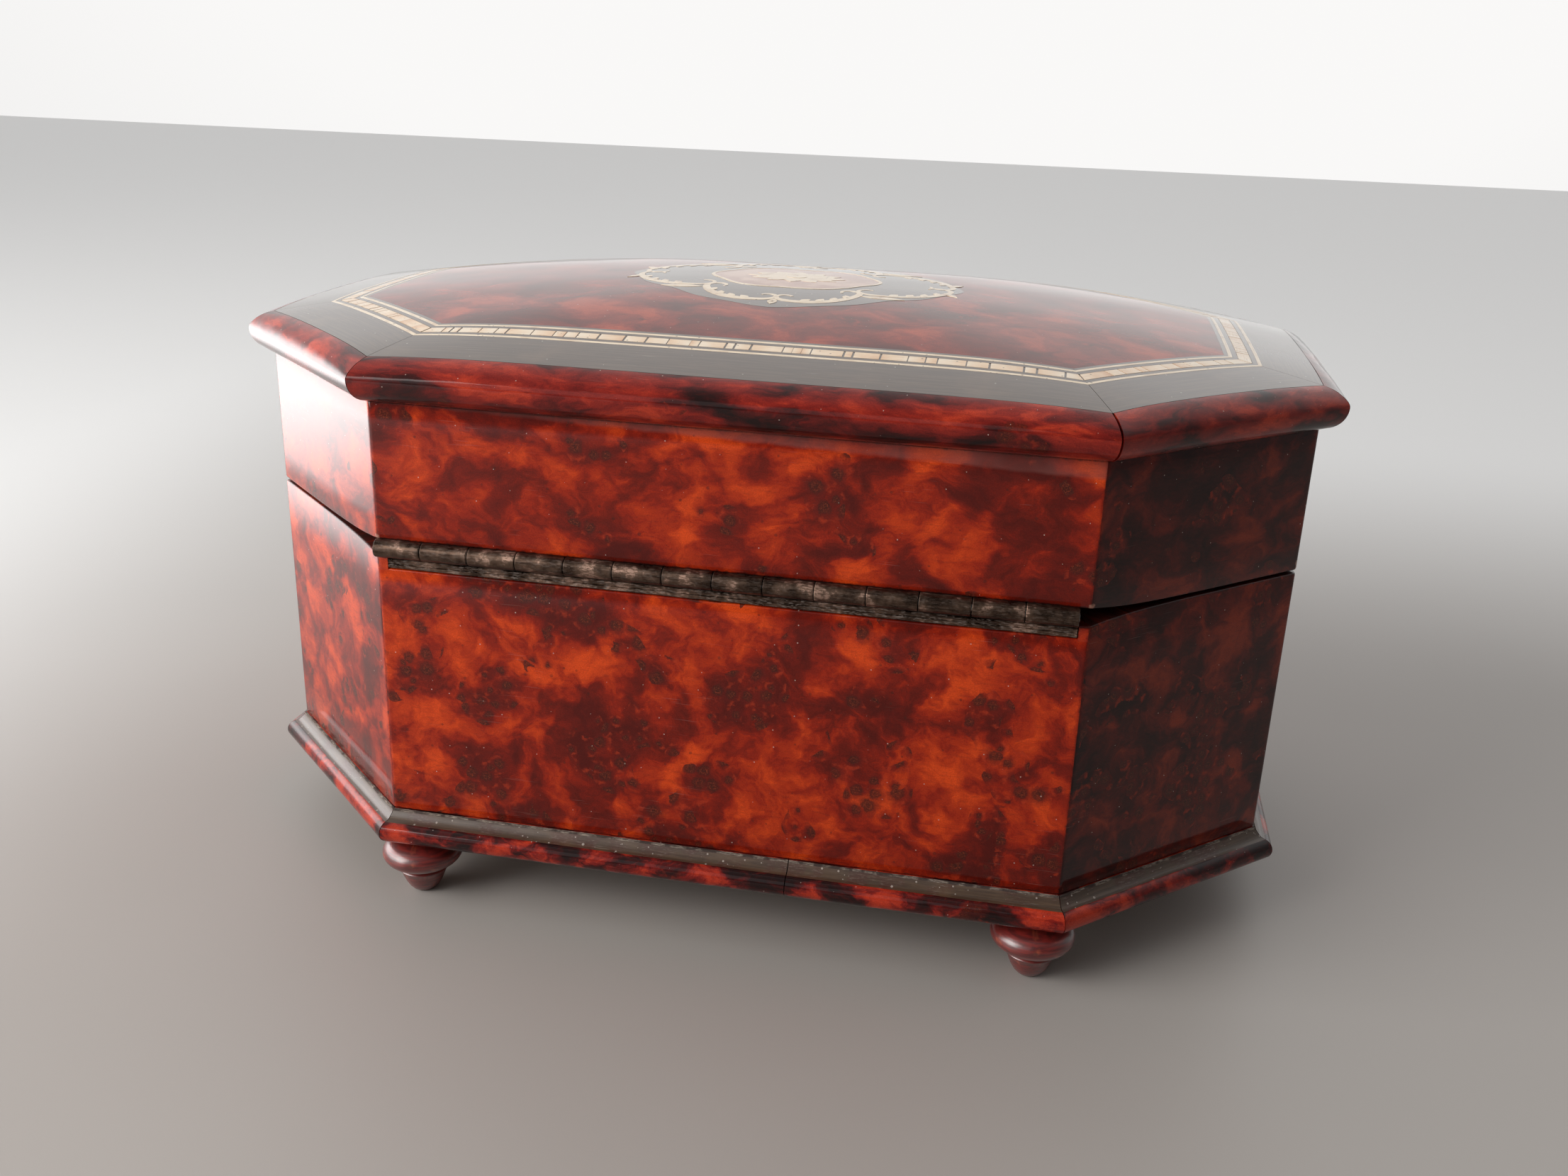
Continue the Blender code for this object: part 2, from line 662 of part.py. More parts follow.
def nested_octagons(inset, share_list):
    """The octagon at an inset, then the same outline shrunk about the middle."""
    loop = octagon_loop(-inset, DOME_STEPS)
    return [[p * share for p in loop] for share in share_list]


def oval_loop(matching, half_length, half_width):
    """An oval with one point in the direction of each point of the matching loop."""
    loop = []
    for p in matching:
        angle = math.atan2(p.y / half_width, p.x / half_length)
        loop.append(Vector((half_length * math.cos(angle), half_width * math.sin(angle))))
    return loop


def under_veneer(x, y):
    return dome(x, y) - VENEER


def make_lid_top(lid_axis):
    shares = (1.0, 0.9, 0.75, 0.55, 0.3)
    plate(
        "lid_panel",
        nested_octagons(BORDER_INSET, shares),
        lambda x, y: dome(x, y) - VENEER - FIT_GAP,
        LID_WALL_TOP + FIT_GAP,
        "carcass_wood",
        lid_axis,
    )
    for name, outer, inner, material in BANDING:
        ring(
            name, octagon_loop(-outer, DOME_STEPS), octagon_loop(-inner, DOME_STEPS),
            dome, under_veneer, material, lid_axis,
        )
    field_outer = octagon_loop(-FIELD_INSET, DOME_STEPS)
    hole = oval_loop(field_outer, CARTOUCHE_HALF_LENGTH + FIT_GAP, CARTOUCHE_HALF_WIDTH + FIT_GAP)
    make_field("lid_field", field_outer, hole, lid_axis)
    oval = oval_loop(field_outer, CARTOUCHE_HALF_LENGTH, CARTOUCHE_HALF_WIDTH)
    plate(
        "cartouche",
        [oval, [p * 0.66 for p in oval], [p * 0.33 for p in oval]],
        dome,
        under_veneer,
        "ebonised_wood",
        lid_axis,
    )


def make_field(name, outer, inner, lid_axis):
    """The burl field: a curved sheet from the banding to the oval hole."""
    rings_across = 4
    count = len(outer)
    loops = [
        [a.lerp(b, r / rings_across) for a, b in zip(outer, inner)]
        for r in range(rings_across + 1)
    ]
    points = []
    for loop in loops:
        points += surface_points(loop, dome)
    for loop in reversed(loops):
        points += surface_points(loop, under_veneer)
    total = 2 * len(loops)
    faces = []
    for r in range(total):
        low, high = r * count, ((r + 1) % total) * count
        for s in range(count):
            t = (s + 1) % count
            faces.append((low + s, low + t, high + t, high + s))
    add_object(name, points, faces, "burl_veneer", smooth=True, parent=lid_axis)


# ---- linings and pads --------------------------------------------------------------------------
def make_linings(lid_axis):
    outer = WALL_THICKNESS + FIT_GAP
    inner = outer + LINING_THICKNESS
    floor = WALL_BOTTOM
    body_top = SEAM - 0.0040
    lid_bottom = SEAM + 0.0040
    ring("body_lining", octagon_loop(-outer, 1), octagon_loop(-inner, 1), body_top, floor, "silk")
    ring("lid_lining", octagon_loop(-outer, 1), octagon_loop(-inner, 1), LID_WALL_TOP, lid_bottom,
         "silk", lid_axis)
    pad_inset = inner + FIT_GAP
    octagon_prism("floor_pad", pad_inset, floor, floor + PAD_THICKNESS, "silk")
    octagon_prism("lid_pad", pad_inset, LID_WALL_TOP - PAD_THICKNESS, LID_WALL_TOP, "silk", lid_axis)


def add_axis(name, location):
    empty = bpy.data.objects.new(name, None)
    empty.location = location
    bpy.context.scene.collection.objects.link(empty)
    return empty


clear_scene()
MATERIALS = make_materials()
lid_hinge_axis = add_axis("lid_hinge_axis", (0, HINGE_Y, SEAM))
bolt_slide_axis = add_axis("bolt_slide_axis", (0, BOLT_Y, LOCK_TOP - BOLT_BAR_TOP - 0.0011))
make_base()
make_feet()
make_walls()
make_hinge(lid_hinge_axis)
make_lock_case()
make_bolt(bolt_slide_axis)
make_keeper(lid_hinge_axis)
make_escutcheon()
make_lid_walls(lid_hinge_axis)
make_lid_moulding(lid_hinge_axis)
make_lid_top(lid_hinge_axis)
make_linings(lid_hinge_axis)
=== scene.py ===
"""Looks for the eight-sided keepsake box: veneers, inlay, mouldings, hinge, linings, light and camera."""

import math
import random

import bmesh
import bpy
from mathutils import Matrix, Vector, noise


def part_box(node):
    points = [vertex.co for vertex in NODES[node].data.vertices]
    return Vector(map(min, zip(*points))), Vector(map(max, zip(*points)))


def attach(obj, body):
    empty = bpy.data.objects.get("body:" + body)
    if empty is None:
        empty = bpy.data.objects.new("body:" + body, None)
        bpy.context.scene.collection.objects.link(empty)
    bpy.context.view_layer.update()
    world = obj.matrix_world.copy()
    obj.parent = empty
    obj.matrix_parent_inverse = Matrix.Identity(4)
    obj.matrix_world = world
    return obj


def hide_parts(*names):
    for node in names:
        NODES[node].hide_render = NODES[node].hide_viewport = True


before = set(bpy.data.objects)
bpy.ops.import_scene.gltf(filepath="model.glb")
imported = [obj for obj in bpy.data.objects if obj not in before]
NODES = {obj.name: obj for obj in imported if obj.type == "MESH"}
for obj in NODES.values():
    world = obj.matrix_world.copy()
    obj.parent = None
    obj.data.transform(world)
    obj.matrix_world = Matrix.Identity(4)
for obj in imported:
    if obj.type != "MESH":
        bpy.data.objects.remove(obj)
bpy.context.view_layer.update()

# ---- sizes taken from the frame ----------------------------------------------------------------
MITRE_SHIFT = 0.0002
SIDES = ("right", "back_right", "back", "back_left", "left", "front_left", "front", "front_right")
BACK = SIDES.index("back")
FRONT = SIDES.index("front")
LONG_SIDES = (BACK, FRONT)
HALF_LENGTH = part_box("wall_right")[1].x
HALF_WIDTH = -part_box("wall_front")[0].y
HALF_LONG_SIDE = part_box("wall_front")[1].x + MITRE_SHIFT
HALF_SHORT_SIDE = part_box("wall_right")[1].y + MITRE_SHIFT
CHAMFER_NORMAL = Vector((HALF_WIDTH - HALF_SHORT_SIDE, HALF_LENGTH - HALF_LONG_SIDE)).normalized()
CHAMFER_DISTANCE = CHAMFER_NORMAL.dot(Vector((HALF_LONG_SIDE, HALF_WIDTH)))
DOME_RISE = 0.0112
DOME_SQUARENESS = 14
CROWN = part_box("cartouche")[1].z
DOME_EDGE = CROWN - DOME_RISE
LID_WALL_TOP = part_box("lid_wall_left")[1].z
WALL_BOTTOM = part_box("wall_left")[0].z
FOOT_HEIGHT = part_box("base_board")[0].z
WALL_THICKNESS = 0.009
SEAM_HALF_GAP = 0.0004
HINGE_RELIEF = 0.0019
RELIEF_POWER = 6
LEAF_SEAT = 0.0022
LIP_BOTTOM = 0.0055
HINGE_LOW, HINGE_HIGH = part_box("hinge_pin")
HINGE_Y = (HINGE_LOW.y + HINGE_HIGH.y) / 2
SEAM = (HINGE_LOW.z + HINGE_HIGH.z) / 2
KEYHOLE = (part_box("escutcheon")[0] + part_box("escutcheon")[1]) / 2
KNUCKLES = 14
SCREWS = 6
EYES_PER_METRE = 215.0
FEET = [name for name in NODES if name.startswith("foot_")]
RANDOM = random.Random(8)


# ---- the octagon and the dome ------------------------------------------------------------------
def side_plane(k):
    """Outward normal and distance of side k of the walls, counted anticlockwise from +X."""
    nx, ny = CHAMFER_NORMAL
    return (
        (Vector((1, 0)), HALF_LENGTH),
        (Vector((nx, ny)), CHAMFER_DISTANCE),
        (Vector((0, 1)), HALF_WIDTH),
        (Vector((-nx, ny)), CHAMFER_DISTANCE),
        (Vector((-1, 0)), HALF_LENGTH),
        (Vector((-nx, -ny)), CHAMFER_DISTANCE),
        (Vector((0, -1)), HALF_WIDTH),
        (Vector((nx, -ny)), CHAMFER_DISTANCE),
    )[k % 8]


def corner(k, offset):
    """Where sides k and k+1 meet, both moved outwards by offset."""
    n1, d1 = side_plane(k)
    n2, d2 = side_plane(k + 1)
    d1 += offset
    d2 += offset
    det = n1.x * n2.y - n1.y * n2.x
    return Vector(((d1 * n2.y - d2 * n1.y) / det, (n1.x * d2 - n2.x * d1) / det))


def along_side(k):
    """The direction along side k, anticlockwise."""
    normal, _ = side_plane(k)
    return Vector((-normal.y, normal.x))


def span(k, offset=0.0):
    """Where side k starts and ends, measured along it, when it is moved outwards by offset."""
    return corner(k - 1, offset).dot(along_side(k)), corner(k, offset).dot(along_side(k))


def dome(x, y):
    """Height of the lid's top: a soft pillow whose level lines follow the octagon."""
    total = 0.0
    for k in range(4):
        normal, distance = side_plane(k)
        total += abs((normal.x * x + normal.y * y) / distance) ** DOME_SQUARENESS
    gauge = total ** (1 / DOME_SQUARENESS)
    return DOME_EDGE + DOME_RISE * (1 - gauge * gauge)


def seam_gap(x, y):
    """How far each rim stands from the seam: even, then flaring close to the hinge."""
    share = max(0.0, (y - HALF_SHORT_SIDE) / (HALF_WIDTH - HALF_SHORT_SIDE))
    return SEAM_HALF_GAP + HINGE_RELIEF * share ** RELIEF_POWER


def on_dome(lift):
    """A height that follows the dome, raised by lift."""
    return lambda x, y: dome(x, y) + lift


# ---- mesh tools --------------------------------------------------------------------------------
class Shape:
    """Points, faces and optional texture coordinates, tints and material numbers for one mesh."""

    def __init__(self):
        self.points = []
        self.faces = []
        self.uvs = []
        self.tints = []
        self.slots = []

    def add(self, points, faces, uvs=None, tints=None, slots=None):
        start = len(self.points)
        self.points += [tuple(p) for p in points]
        self.faces += [tuple(i + start for i in face) for face in faces]
        self.uvs += uvs or [(p[0], p[1]) for p in points]
        self.tints += tints or [(0, 0, 0)] * len(points)
        self.slots += slots or [0] * len(faces)

    def build(self, name, materials, smooth_angle=35):
        mesh = bpy.data.meshes.new(name)
        mesh.from_pydata(self.points, [], self.faces)
        for material in materials:
            mesh.materials.append(material)
        mesh.polygons.foreach_set("material_index", self.slots)
        layer = mesh.uv_layers.new(name="UVMap")
        tint = mesh.attributes.new("tint", "FLOAT_VECTOR", "POINT")
        for loop in mesh.loops:
            layer.data[loop.index].uv = self.uvs[loop.vertex_index]
        for i, value in enumerate(self.tints):
            tint.data[i].vector = value
        shaped = bmesh.new()
        shaped.from_mesh(mesh)
        bmesh.ops.recalc_face_normals(shaped, faces=shaped.faces)
        shaped.to_mesh(mesh)
        shaped.free()
        mesh.shade_smooth()
        mesh.set_sharp_from_angle(angle=math.radians(smooth_angle))
        obj = bpy.data.objects.new(name, mesh)
        bpy.context.scene.collection.objects.link(obj)
        return obj


def tube_faces(rings, sides):
    """Faces of a tube of rings of points, closed by a flat face at each end."""
    faces = []
    for r in range(rings - 1):
        for s in range(sides):
            t = (s + 1) % sides
            faces.append((r * sides + s, r * sides + t, (r + 1) * sides + t, (r + 1) * sides + s))
    faces.append(tuple(reversed(range(sides))))
    faces.append(tuple((rings - 1) * sides + s for s in range(sides)))
    return faces


def add_length(shape, k, profile, steps=1, ends=(None, None), shift=(0.0, 0.0), wave=None, zones=None,
               tints=None):
    """Adds a mitred length along side k.

    profile lists (distance out from the wall's face, height), where a height may be a function of
    x and y. shift moves the two mitred ends in from the corner. wave(u, v, edge) pushes the surface
    out and up, where edge is the distance from the nearer corner. zones gives a material number for
    each edge of the profile. steps may be a list of shares of the length. ends gives the start and
    end along the side where they aren't mitres. tints gives a tint for a share of the length.
    """
    normal, distance = side_plane(k)
    along = along_side(k)
    travel = [0.0]
    for (o1, h1), (o2, h2) in zip(profile, profile[1:]):
        z1 = h1(0, HALF_WIDTH) if callable(h1) else h1
        z2 = h2(0, HALF_WIDTH) if callable(h2) else h2
        travel.append(travel[-1] + math.hypot(o2 - o1, z2 - z1))
    points, uvs, colours = [], [], []
    shares = steps if isinstance(steps, list) else [step / steps for step in range(steps + 1)]
    for share in shares:
        for (offset, height), v in zip(profile, travel):
            low, high = span(k, offset)
            start = low + shift[0] if ends[0] is None else ends[0]
            end = high - shift[1] if ends[1] is None else ends[1]
            u = start + (end - start) * share
            place = normal * (distance + offset) + along * u
            z = height(place.x, place.y) if callable(height) else height
            if wave:
                push = wave(u + 0.31 * k, v, min(u - low, high - u))
                place += normal * push[0]
                z += push[1]
            points.append((place.x, place.y, z))
            uvs.append((u + 0.31 * k, v))
            colours.append(tints(share) if tints else (0, 0, 0))
    sides = len(profile)
    slots = None
    if zones:
        slots = zones * (len(shares) - 1) + [0, 0]
    shape.add(points, tube_faces(len(shares), sides), uvs, colours, slots)


def add_turned(shape, profile, centre, steps=64):
    """Adds a closed form turned about an upright axis; profile is (radius, height)."""
    points, uvs = [], []
    for radius, rise in profile:
        for s in range(steps):
            angle = 2 * math.pi * s / steps
            points.append(centre + Vector((radius * math.cos(angle), radius * math.sin(angle), rise)))
            uvs.append((angle * 0.008, rise))
    shape.add(points, tube_faces(len(profile), steps), uvs)


def domed_faces(rings, count):
    """Faces of rings of count points, closed by a fan to the one point after them."""
    last = (rings - 1) * count
    fan = [(last + s, last + (s + 1) % count, rings * count) for s in range(count)]
    return tube_faces(rings, count)[:-1] + fan


def octagon_loop(inset, per_side):
    """Points round the octagon, moved inwards by inset."""
    loop = []
    for k in range(8):
        start, end = corner(k - 1, -inset), corner(k, -inset)
        loop += [start.lerp(end, s / per_side) for s in range(per_side)]
    return loop


def arc(centre, radii, start_degrees, end_degrees, steps):
    """Points on part of an ellipse."""
    points = []
    for s in range(steps + 1):
        angle = math.radians(start_degrees + (end_degrees - start_degrees) * s / steps)
        points.append((centre[0] + radii[0] * math.cos(angle), centre[1] + radii[1] * math.sin(angle)))
    return points


def finish_piece(obj, body, replaced=()):
    """Says which body a piece rides on and what it replaces."""
    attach(obj, body)
    if replaced:
        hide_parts(*replaced)
    return obj


# ---- node materials ----------------------------------------------------------------------------
class Nodes:
    """Short names for adding and linking nodes in one node tree."""

    def __init__(self, tree):
        self.tree = tree

    def add(self, kind, inputs, **settings):
        node = self.tree.nodes.new("ShaderNode" + kind)
        for key, value in settings.items():
            setattr(node, key, value)
        for socket, value in inputs.items():
            self.put(node.inputs[socket], value)
        return node

    def put(self, socket, value):
        if isinstance(value, bpy.types.NodeSocket):
            self.tree.links.new(value, socket)
        else:
            socket.default_value = value

    def math(self, operation, a, b=0.0, clamp=False):
        return self.add("Math", {0: a, 1: b}, operation=operation, use_clamp=clamp).outputs[0]

    def times(self, a, b):
        return self.math("MULTIPLY", a, b)

    def plus(self, a, b):
        return self.math("ADD", a, b)

    def minus(self, a, b):
        return self.math("SUBTRACT", a, b)

    def vector(self, operation, a, b):
        return self.add("VectorMath", {0: a, 1: b}, operation=operation).outputs[0]

    def highest(self, a, b):
        return self.math("MAXIMUM", a, b)

    def lowest(self, a, b):
        return self.math("MINIMUM", a, b)

    def dot(self, a, b):
        return self.add("VectorMath", {0: a, 1: b}, operation="DOT_PRODUCT").outputs[1]

    def split(self, vector):
        return self.add("SeparateXYZ", {0: vector}).outputs

    def band(self, value, low, high, to_low=0.0, to_high=1.0):
        inputs = {0: value, 1: low, 2: high, 3: to_low, 4: to_high}
        return self.add("MapRange", inputs, interpolation_type="SMOOTHSTEP").outputs[0]

    def ramp(self, value, stops):
        node = self.add("ValToRGB", {0: value})
        points = node.color_ramp.elements
        while len(points) < len(stops):
            points.new(1.0)
        for point, (place, colour) in zip(points, stops):
            point.position = place
            point.color = (*colour, 1)
        return node.outputs[0]


class Graph(Nodes):
    """A Principled material and the textures that feed it."""

    def __init__(self, name, **shader):
        self.material = bpy.data.materials.new(name)
        self.material.use_nodes = True
        super().__init__(self.material.node_tree)
        self.shader = self.tree.nodes["Principled BSDF"]
        for socket, value in shader.items():
            self.shader.inputs[socket.replace("_", " ")].default_value = value

    def place(self):
        return self.add("TexCoord", {}).outputs["Object"]

    def mix(self, share, a, b, blend="MIX"):
        inputs = {0: share, 6: a, 7: b}
        return self.add("Mix", inputs, data_type="RGBA", blend_type=blend).outputs[2]

    def noise(self, vector, scale, detail=2.0, roughness=0.5, distortion=0.0, output=0):
        inputs = {"Vector": vector, "Scale": scale, "Detail": detail, "Roughness": roughness,
                  "Distortion": distortion}
        return self.add("TexNoise", inputs).outputs[output]

    def warped(self, vector, reach, *noise_settings):
        """The coordinates pushed about by up to half of reach."""
        push = self.vector("SUBTRACT", self.noise(vector, *noise_settings, output=1), (0.5, 0.5, 0.5))
        push = self.add("VectorMath", {0: push, 3: reach}, operation="SCALE").outputs[0]
        return self.vector("ADD", vector, push)

    def cells(self, vector, scale, randomness=1.0):
        inputs = {"Vector": vector, "Scale": scale, "Randomness": randomness}
        return self.add("TexVoronoi", inputs, voronoi_dimensions="2D")

    def join(self, x, y, z=0.0):
        return self.add("CombineXYZ", {0: x, 1: y, 2: z}).outputs[0]

    def stretched(self, vector, angle, scale):
        """The coordinates turned by angle degrees, then scaled along and across."""
        inputs = {"Vector": vector, "Rotation": (0, 0, math.radians(angle)), "Scale": (*scale, 1)}
        return self.add("Mapping", inputs, vector_type="POINT").outputs[0]

    def fibre(self, plane, angle, along, across, detail=3.0, roughness=0.5):
        """Streaks along angle degrees, given as noise frequencies along and across them."""
        return self.noise(self.stretched(plane, angle, (along, across)), 1.0, detail, roughness)

    def drawn(self, place, along, across, detail=3.0, roughness=0.5):
        """Streaks along the X axis through a solid."""
        return self.noise(self.vector("MULTIPLY", place, (along, across, across)), 1.0, detail, roughness)

    def bump(self, height):
        """Shades a height given in metres, under the lacquer and on it."""
        node = self.add("Bump", {"Height": height, "Distance": 1.0, "Strength": 1.0})
        self.put(self.shader.inputs["Normal"], node.outputs[0])
        self.put(self.shader.inputs["Coat Normal"], node.outputs[0])

    def finish(self, colour, roughness=None, metallic=None):
        self.put(self.shader.inputs["Base Color"], colour)
        if roughness is not None:
            self.put(self.shader.inputs["Roughness"], roughness)
        if metallic is not None:
            self.put(self.shader.inputs["Metallic"], metallic)
        return self.material


def rgb(red, green, blue):
    """A colour as the shader sockets take it."""
    return (red, green, blue, 1)


def along_board(g, k):
    """Metres along side k from the middle of the frame."""
    return g.dot(g.place(), (*along_side(k), 0))


def board_plane(k, seed):
    """Metres along side k and up it, moved by a seed so that each board has its own figure."""
    def plane(g):
        height = g.split(g.place())[2]
        return g.join(g.plus(along_board(g, k), 0.37 * seed), g.plus(height, 0.23 * seed))
    return plane


def top_plane(g):
    """Metres along and across the lid's top."""
    x, y, _ = g.split(g.place())
    return g.join(x, y)


def uv_plane(g):
    """Metres along a length and round its section."""
    return g.add("UVMap", {}, uv_map="UVMap").outputs[0]


def scratches(g, plane, angle, fineness=1.0, amount=0.5):
    """Short thin straight marks in one direction, thinned out by a cloud."""
    lines = g.fibre(plane, angle, 90 * fineness, 3400 * fineness, 1.0)
    patches = g.noise(plane, 45.0, 1.0)
    return g.times(g.band(lines, 0.70, 0.74), g.band(patches, 0.55, 0.65, 0.0, amount))


def specks(g, plane, scale, size, share):
    """Small round dots: dust, pinholes and spatter."""
    dots = g.cells(plane, scale)
    dice = g.split(dots.outputs["Color"])
    radius = g.times(dice[1], size)
    inside = g.math("LESS_THAN", dots.outputs["Distance"], radius)
    return g.times(inside, g.math("LESS_THAN", dice[0], share))


def eye_groups(g, plane):
    """A slow cloud that gathers the eyes, and the dark figure round them."""
    return g.noise(plane, 52.0, 1.0)


def burl_eyes(g, plane, colour, cluster, strength):
    """Bud eyes in loose clusters: soft dark smudges with a mottled middle and a brighter halo."""
    cells = g.cells(g.warped(plane, 0.0022, 700.0, 3.5, 0.7), EYES_PER_METRE, 0.95)
    dice = g.split(cells.outputs["Color"])
    radius = g.plus(g.times(dice[1], 0.26), 0.12)
    reach = g.math("DIVIDE", cells.outputs["Distance"], radius)
    here = g.math("GREATER_THAN", g.band(eye_groups(g, plane), *cluster), dice[0])
    here = g.times(here, strength)

    def within(low, high):
        return g.times(g.band(reach, low, high, 1.0, 0.0), here)

    mottle = g.noise(plane, 2600.0, 2.0, 0.7)
    middle = g.mix(g.band(mottle, 0.42, 0.66), rgb(0.050, 0.010, 0.005), rgb(0.230, 0.038, 0.014))
    rim = g.times(g.band(reach, 0.45, 0.80), within(0.9, 1.3))
    colour = g.mix(g.times(within(0.9, 2.9), 0.72), colour, rgb(0.110, 0.0080, 0.0045))
    halo = g.times(g.band(reach, 1.2, 2.0), within(2.0, 3.2))
    lit_side = g.band(g.noise(plane, 420.0, 2.0), 0.48, 0.66)
    halo = g.times(g.times(halo, lit_side), 0.45)
    colour = g.mix(halo, colour, rgb(0.50, 0.045, 0.012))
    fade = g.band(g.noise(plane, 480.0, 2.0), 0.34, 0.58, 0.6, 1.0)
    colour = g.mix(g.times(within(0.55, 1.25), g.times(fade, 0.80)), colour, middle)
    colour = g.mix(g.times(rim, g.times(fade, 0.60)), colour, rgb(0.030, 0.007, 0.005))
    return g.mix(g.times(within(0.20, 0.55), 0.60), colour, rgb(0.030, 0.007, 0.004))


BURL_TONES = (
    (0.00, (0.076, 0.0045, 0.0022)),
    (0.28, (0.150, 0.0076, 0.0024)),
    (0.50, (0.256, 0.0135, 0.0028)),
    (0.72, (0.365, 0.0255, 0.0036)),
    (1.00, (0.590, 0.0560, 0.0060)),
)
MOULDING_TONES = (
    (0.00, (0.012, 0.0040, 0.0038)),
    (0.22, (0.055, 0.0052, 0.0045)),
    (0.50, (0.160, 0.0100, 0.0070)),
    (0.75, (0.250, 0.0170, 0.0090)),
    (1.00, (0.460, 0.0420, 0.0150)),
)
BEAD_TONES = (
    (0.00, (0.012, 0.0040, 0.0040)),
    (0.30, (0.060, 0.0050, 0.0048)),
    (0.60, (0.190, 0.0110, 0.0075)),
    (1.00, (0.440, 0.0360, 0.0130)),
)
FIELD_TONES = (
    (0.00, (0.080, 0.0100, 0.0080)),
    (0.35, (0.155, 0.0160, 0.0100)),
    (0.70, (0.245, 0.0270, 0.0140)),
    (1.00, (0.400, 0.0560, 0.0210)),
)
# Darker burl tones used only on the back_left boards: painted shade for the side turned away from the
# lights.
PAINTED_SHADE_TONES = (
    (0.00, (0.018, 0.0025, 0.0022)),
    (0.35, (0.048, 0.0045, 0.0032)),
    (0.65, (0.110, 0.0085, 0.0042)),
    (1.00, (0.240, 0.0250, 0.0070)),
)


def figure(g, plane, stretch, lean=0.0):
    """Flame clouds, about 0.3 dark to 0.7 bright: soft patches folded along a few crisper edges."""
    shaped = g.stretched(plane, lean, stretch)
    warped = g.warped(shaped, 0.015, 70.0, 3.0, 0.6)
    soft = g.noise(warped, 74.0, 6.0, 0.62, 0.5)
    wide = g.times(g.minus(g.noise(warped, 20.0, 1.0), 0.5), 0.36)
    fold = g.math("FRACT", g.times(g.noise(warped, 30.0, 2.0), 4.0))
    shade = g.times(g.band(fold, 0.0, 0.30), g.band(fold, 0.30, 0.90, 1.0, 0.0))
    around_eyes = g.band(eye_groups(g, plane), 0.44, 0.68, 0.02, -0.06)
    value = g.minus(soft, g.times(g.minus(shade, 0.40), 0.10))
    return g.plus(g.plus(value, wide), around_eyes)


def burl(name, plane_of, tones=BURL_TONES, stretch=(1.0, 1.0), lean=0.0, low=0.28, high=0.74, eyes=0.9,
         cluster=(0.47, 0.66), finish_edges=None, haze=None):
    """French-polished burl veneer."""
    g = Graph(name, Roughness=0.45, Specular_IOR_Level=0.05, Coat_Weight=1.0, Coat_Roughness=0.06,
              Coat_IOR=1.31)
    plane = plane_of(g)
    colour = g.ramp(g.band(figure(g, plane, stretch, lean), low, high), tones)
    fibre = g.fibre(plane, 25.0 + lean, 260, 1300, 2.0, 0.6)
    colour = g.mix(g.band(fibre, 0.50, 0.75, 0.0, 0.30), colour, rgb(0.090, 0.0090, 0.0050))
    if eyes:
        colour = burl_eyes(g, plane, colour, cluster, eyes)
        pins = specks(g, plane, 300.0, 0.13, 0.14)
        colour = g.mix(g.times(pins, 0.5 * eyes), colour, rgb(0.040, 0.010, 0.006))
    grain = g.noise(plane, 3000.0, 2.0, 0.6)
    colour = g.mix(1.0, colour, g.ramp(grain, ((0.30, (0.80, 0.80, 0.80)), (0.70, (1.20, 1.20, 1.20)))),
                   "MULTIPLY")
    if finish_edges:
        colour = finish_edges(g, plane, colour)
    marks = g.highest(scratches(g, plane, 63.0, 1.0, 0.09), scratches(g, plane, -28.0, 0.6, 0.07))
    dust = g.times(specks(g, plane, 210.0, 0.034, 0.30), 0.8)
    colour = g.mix(g.highest(marks, dust), colour, rgb(0.50, 0.38, 0.33))
    roughness = None
    if haze:
        bloom = haze(g, plane)
        colour = g.mix(g.times(bloom, 0.5), colour, rgb(0.21, 0.085, 0.075))
        roughness = g.plus(0.45, g.times(bloom, 0.2))
    waves = g.times(g.noise(plane, 60.0, 1.0), 0.000050)
    peel = g.times(g.noise(plane, 700.0, 2.0), 0.0000014)
    nicks = g.times(marks, -0.000004)
    g.bump(g.plus(g.plus(waves, peel), nicks))
    return g.finish(colour, roughness)


def off_the_seam(g, height):
    """How far a height is from the seam, either way."""
    return g.math("ABSOLUTE", g.minus(height, SEAM))


def rim_gap(g):
    """The same flare as seam_gap, worked out in the shader."""
    y = g.split(g.place())[1]
    chamfer_width = HALF_WIDTH - HALF_SHORT_SIDE
    share = g.math("DIVIDE", g.minus(y, HALF_SHORT_SIDE), chamfer_width, clamp=True)
    return g.plus(g.times(g.math("POWER", share, RELIEF_POWER), HINGE_RELIEF), SEAM_HALF_GAP)


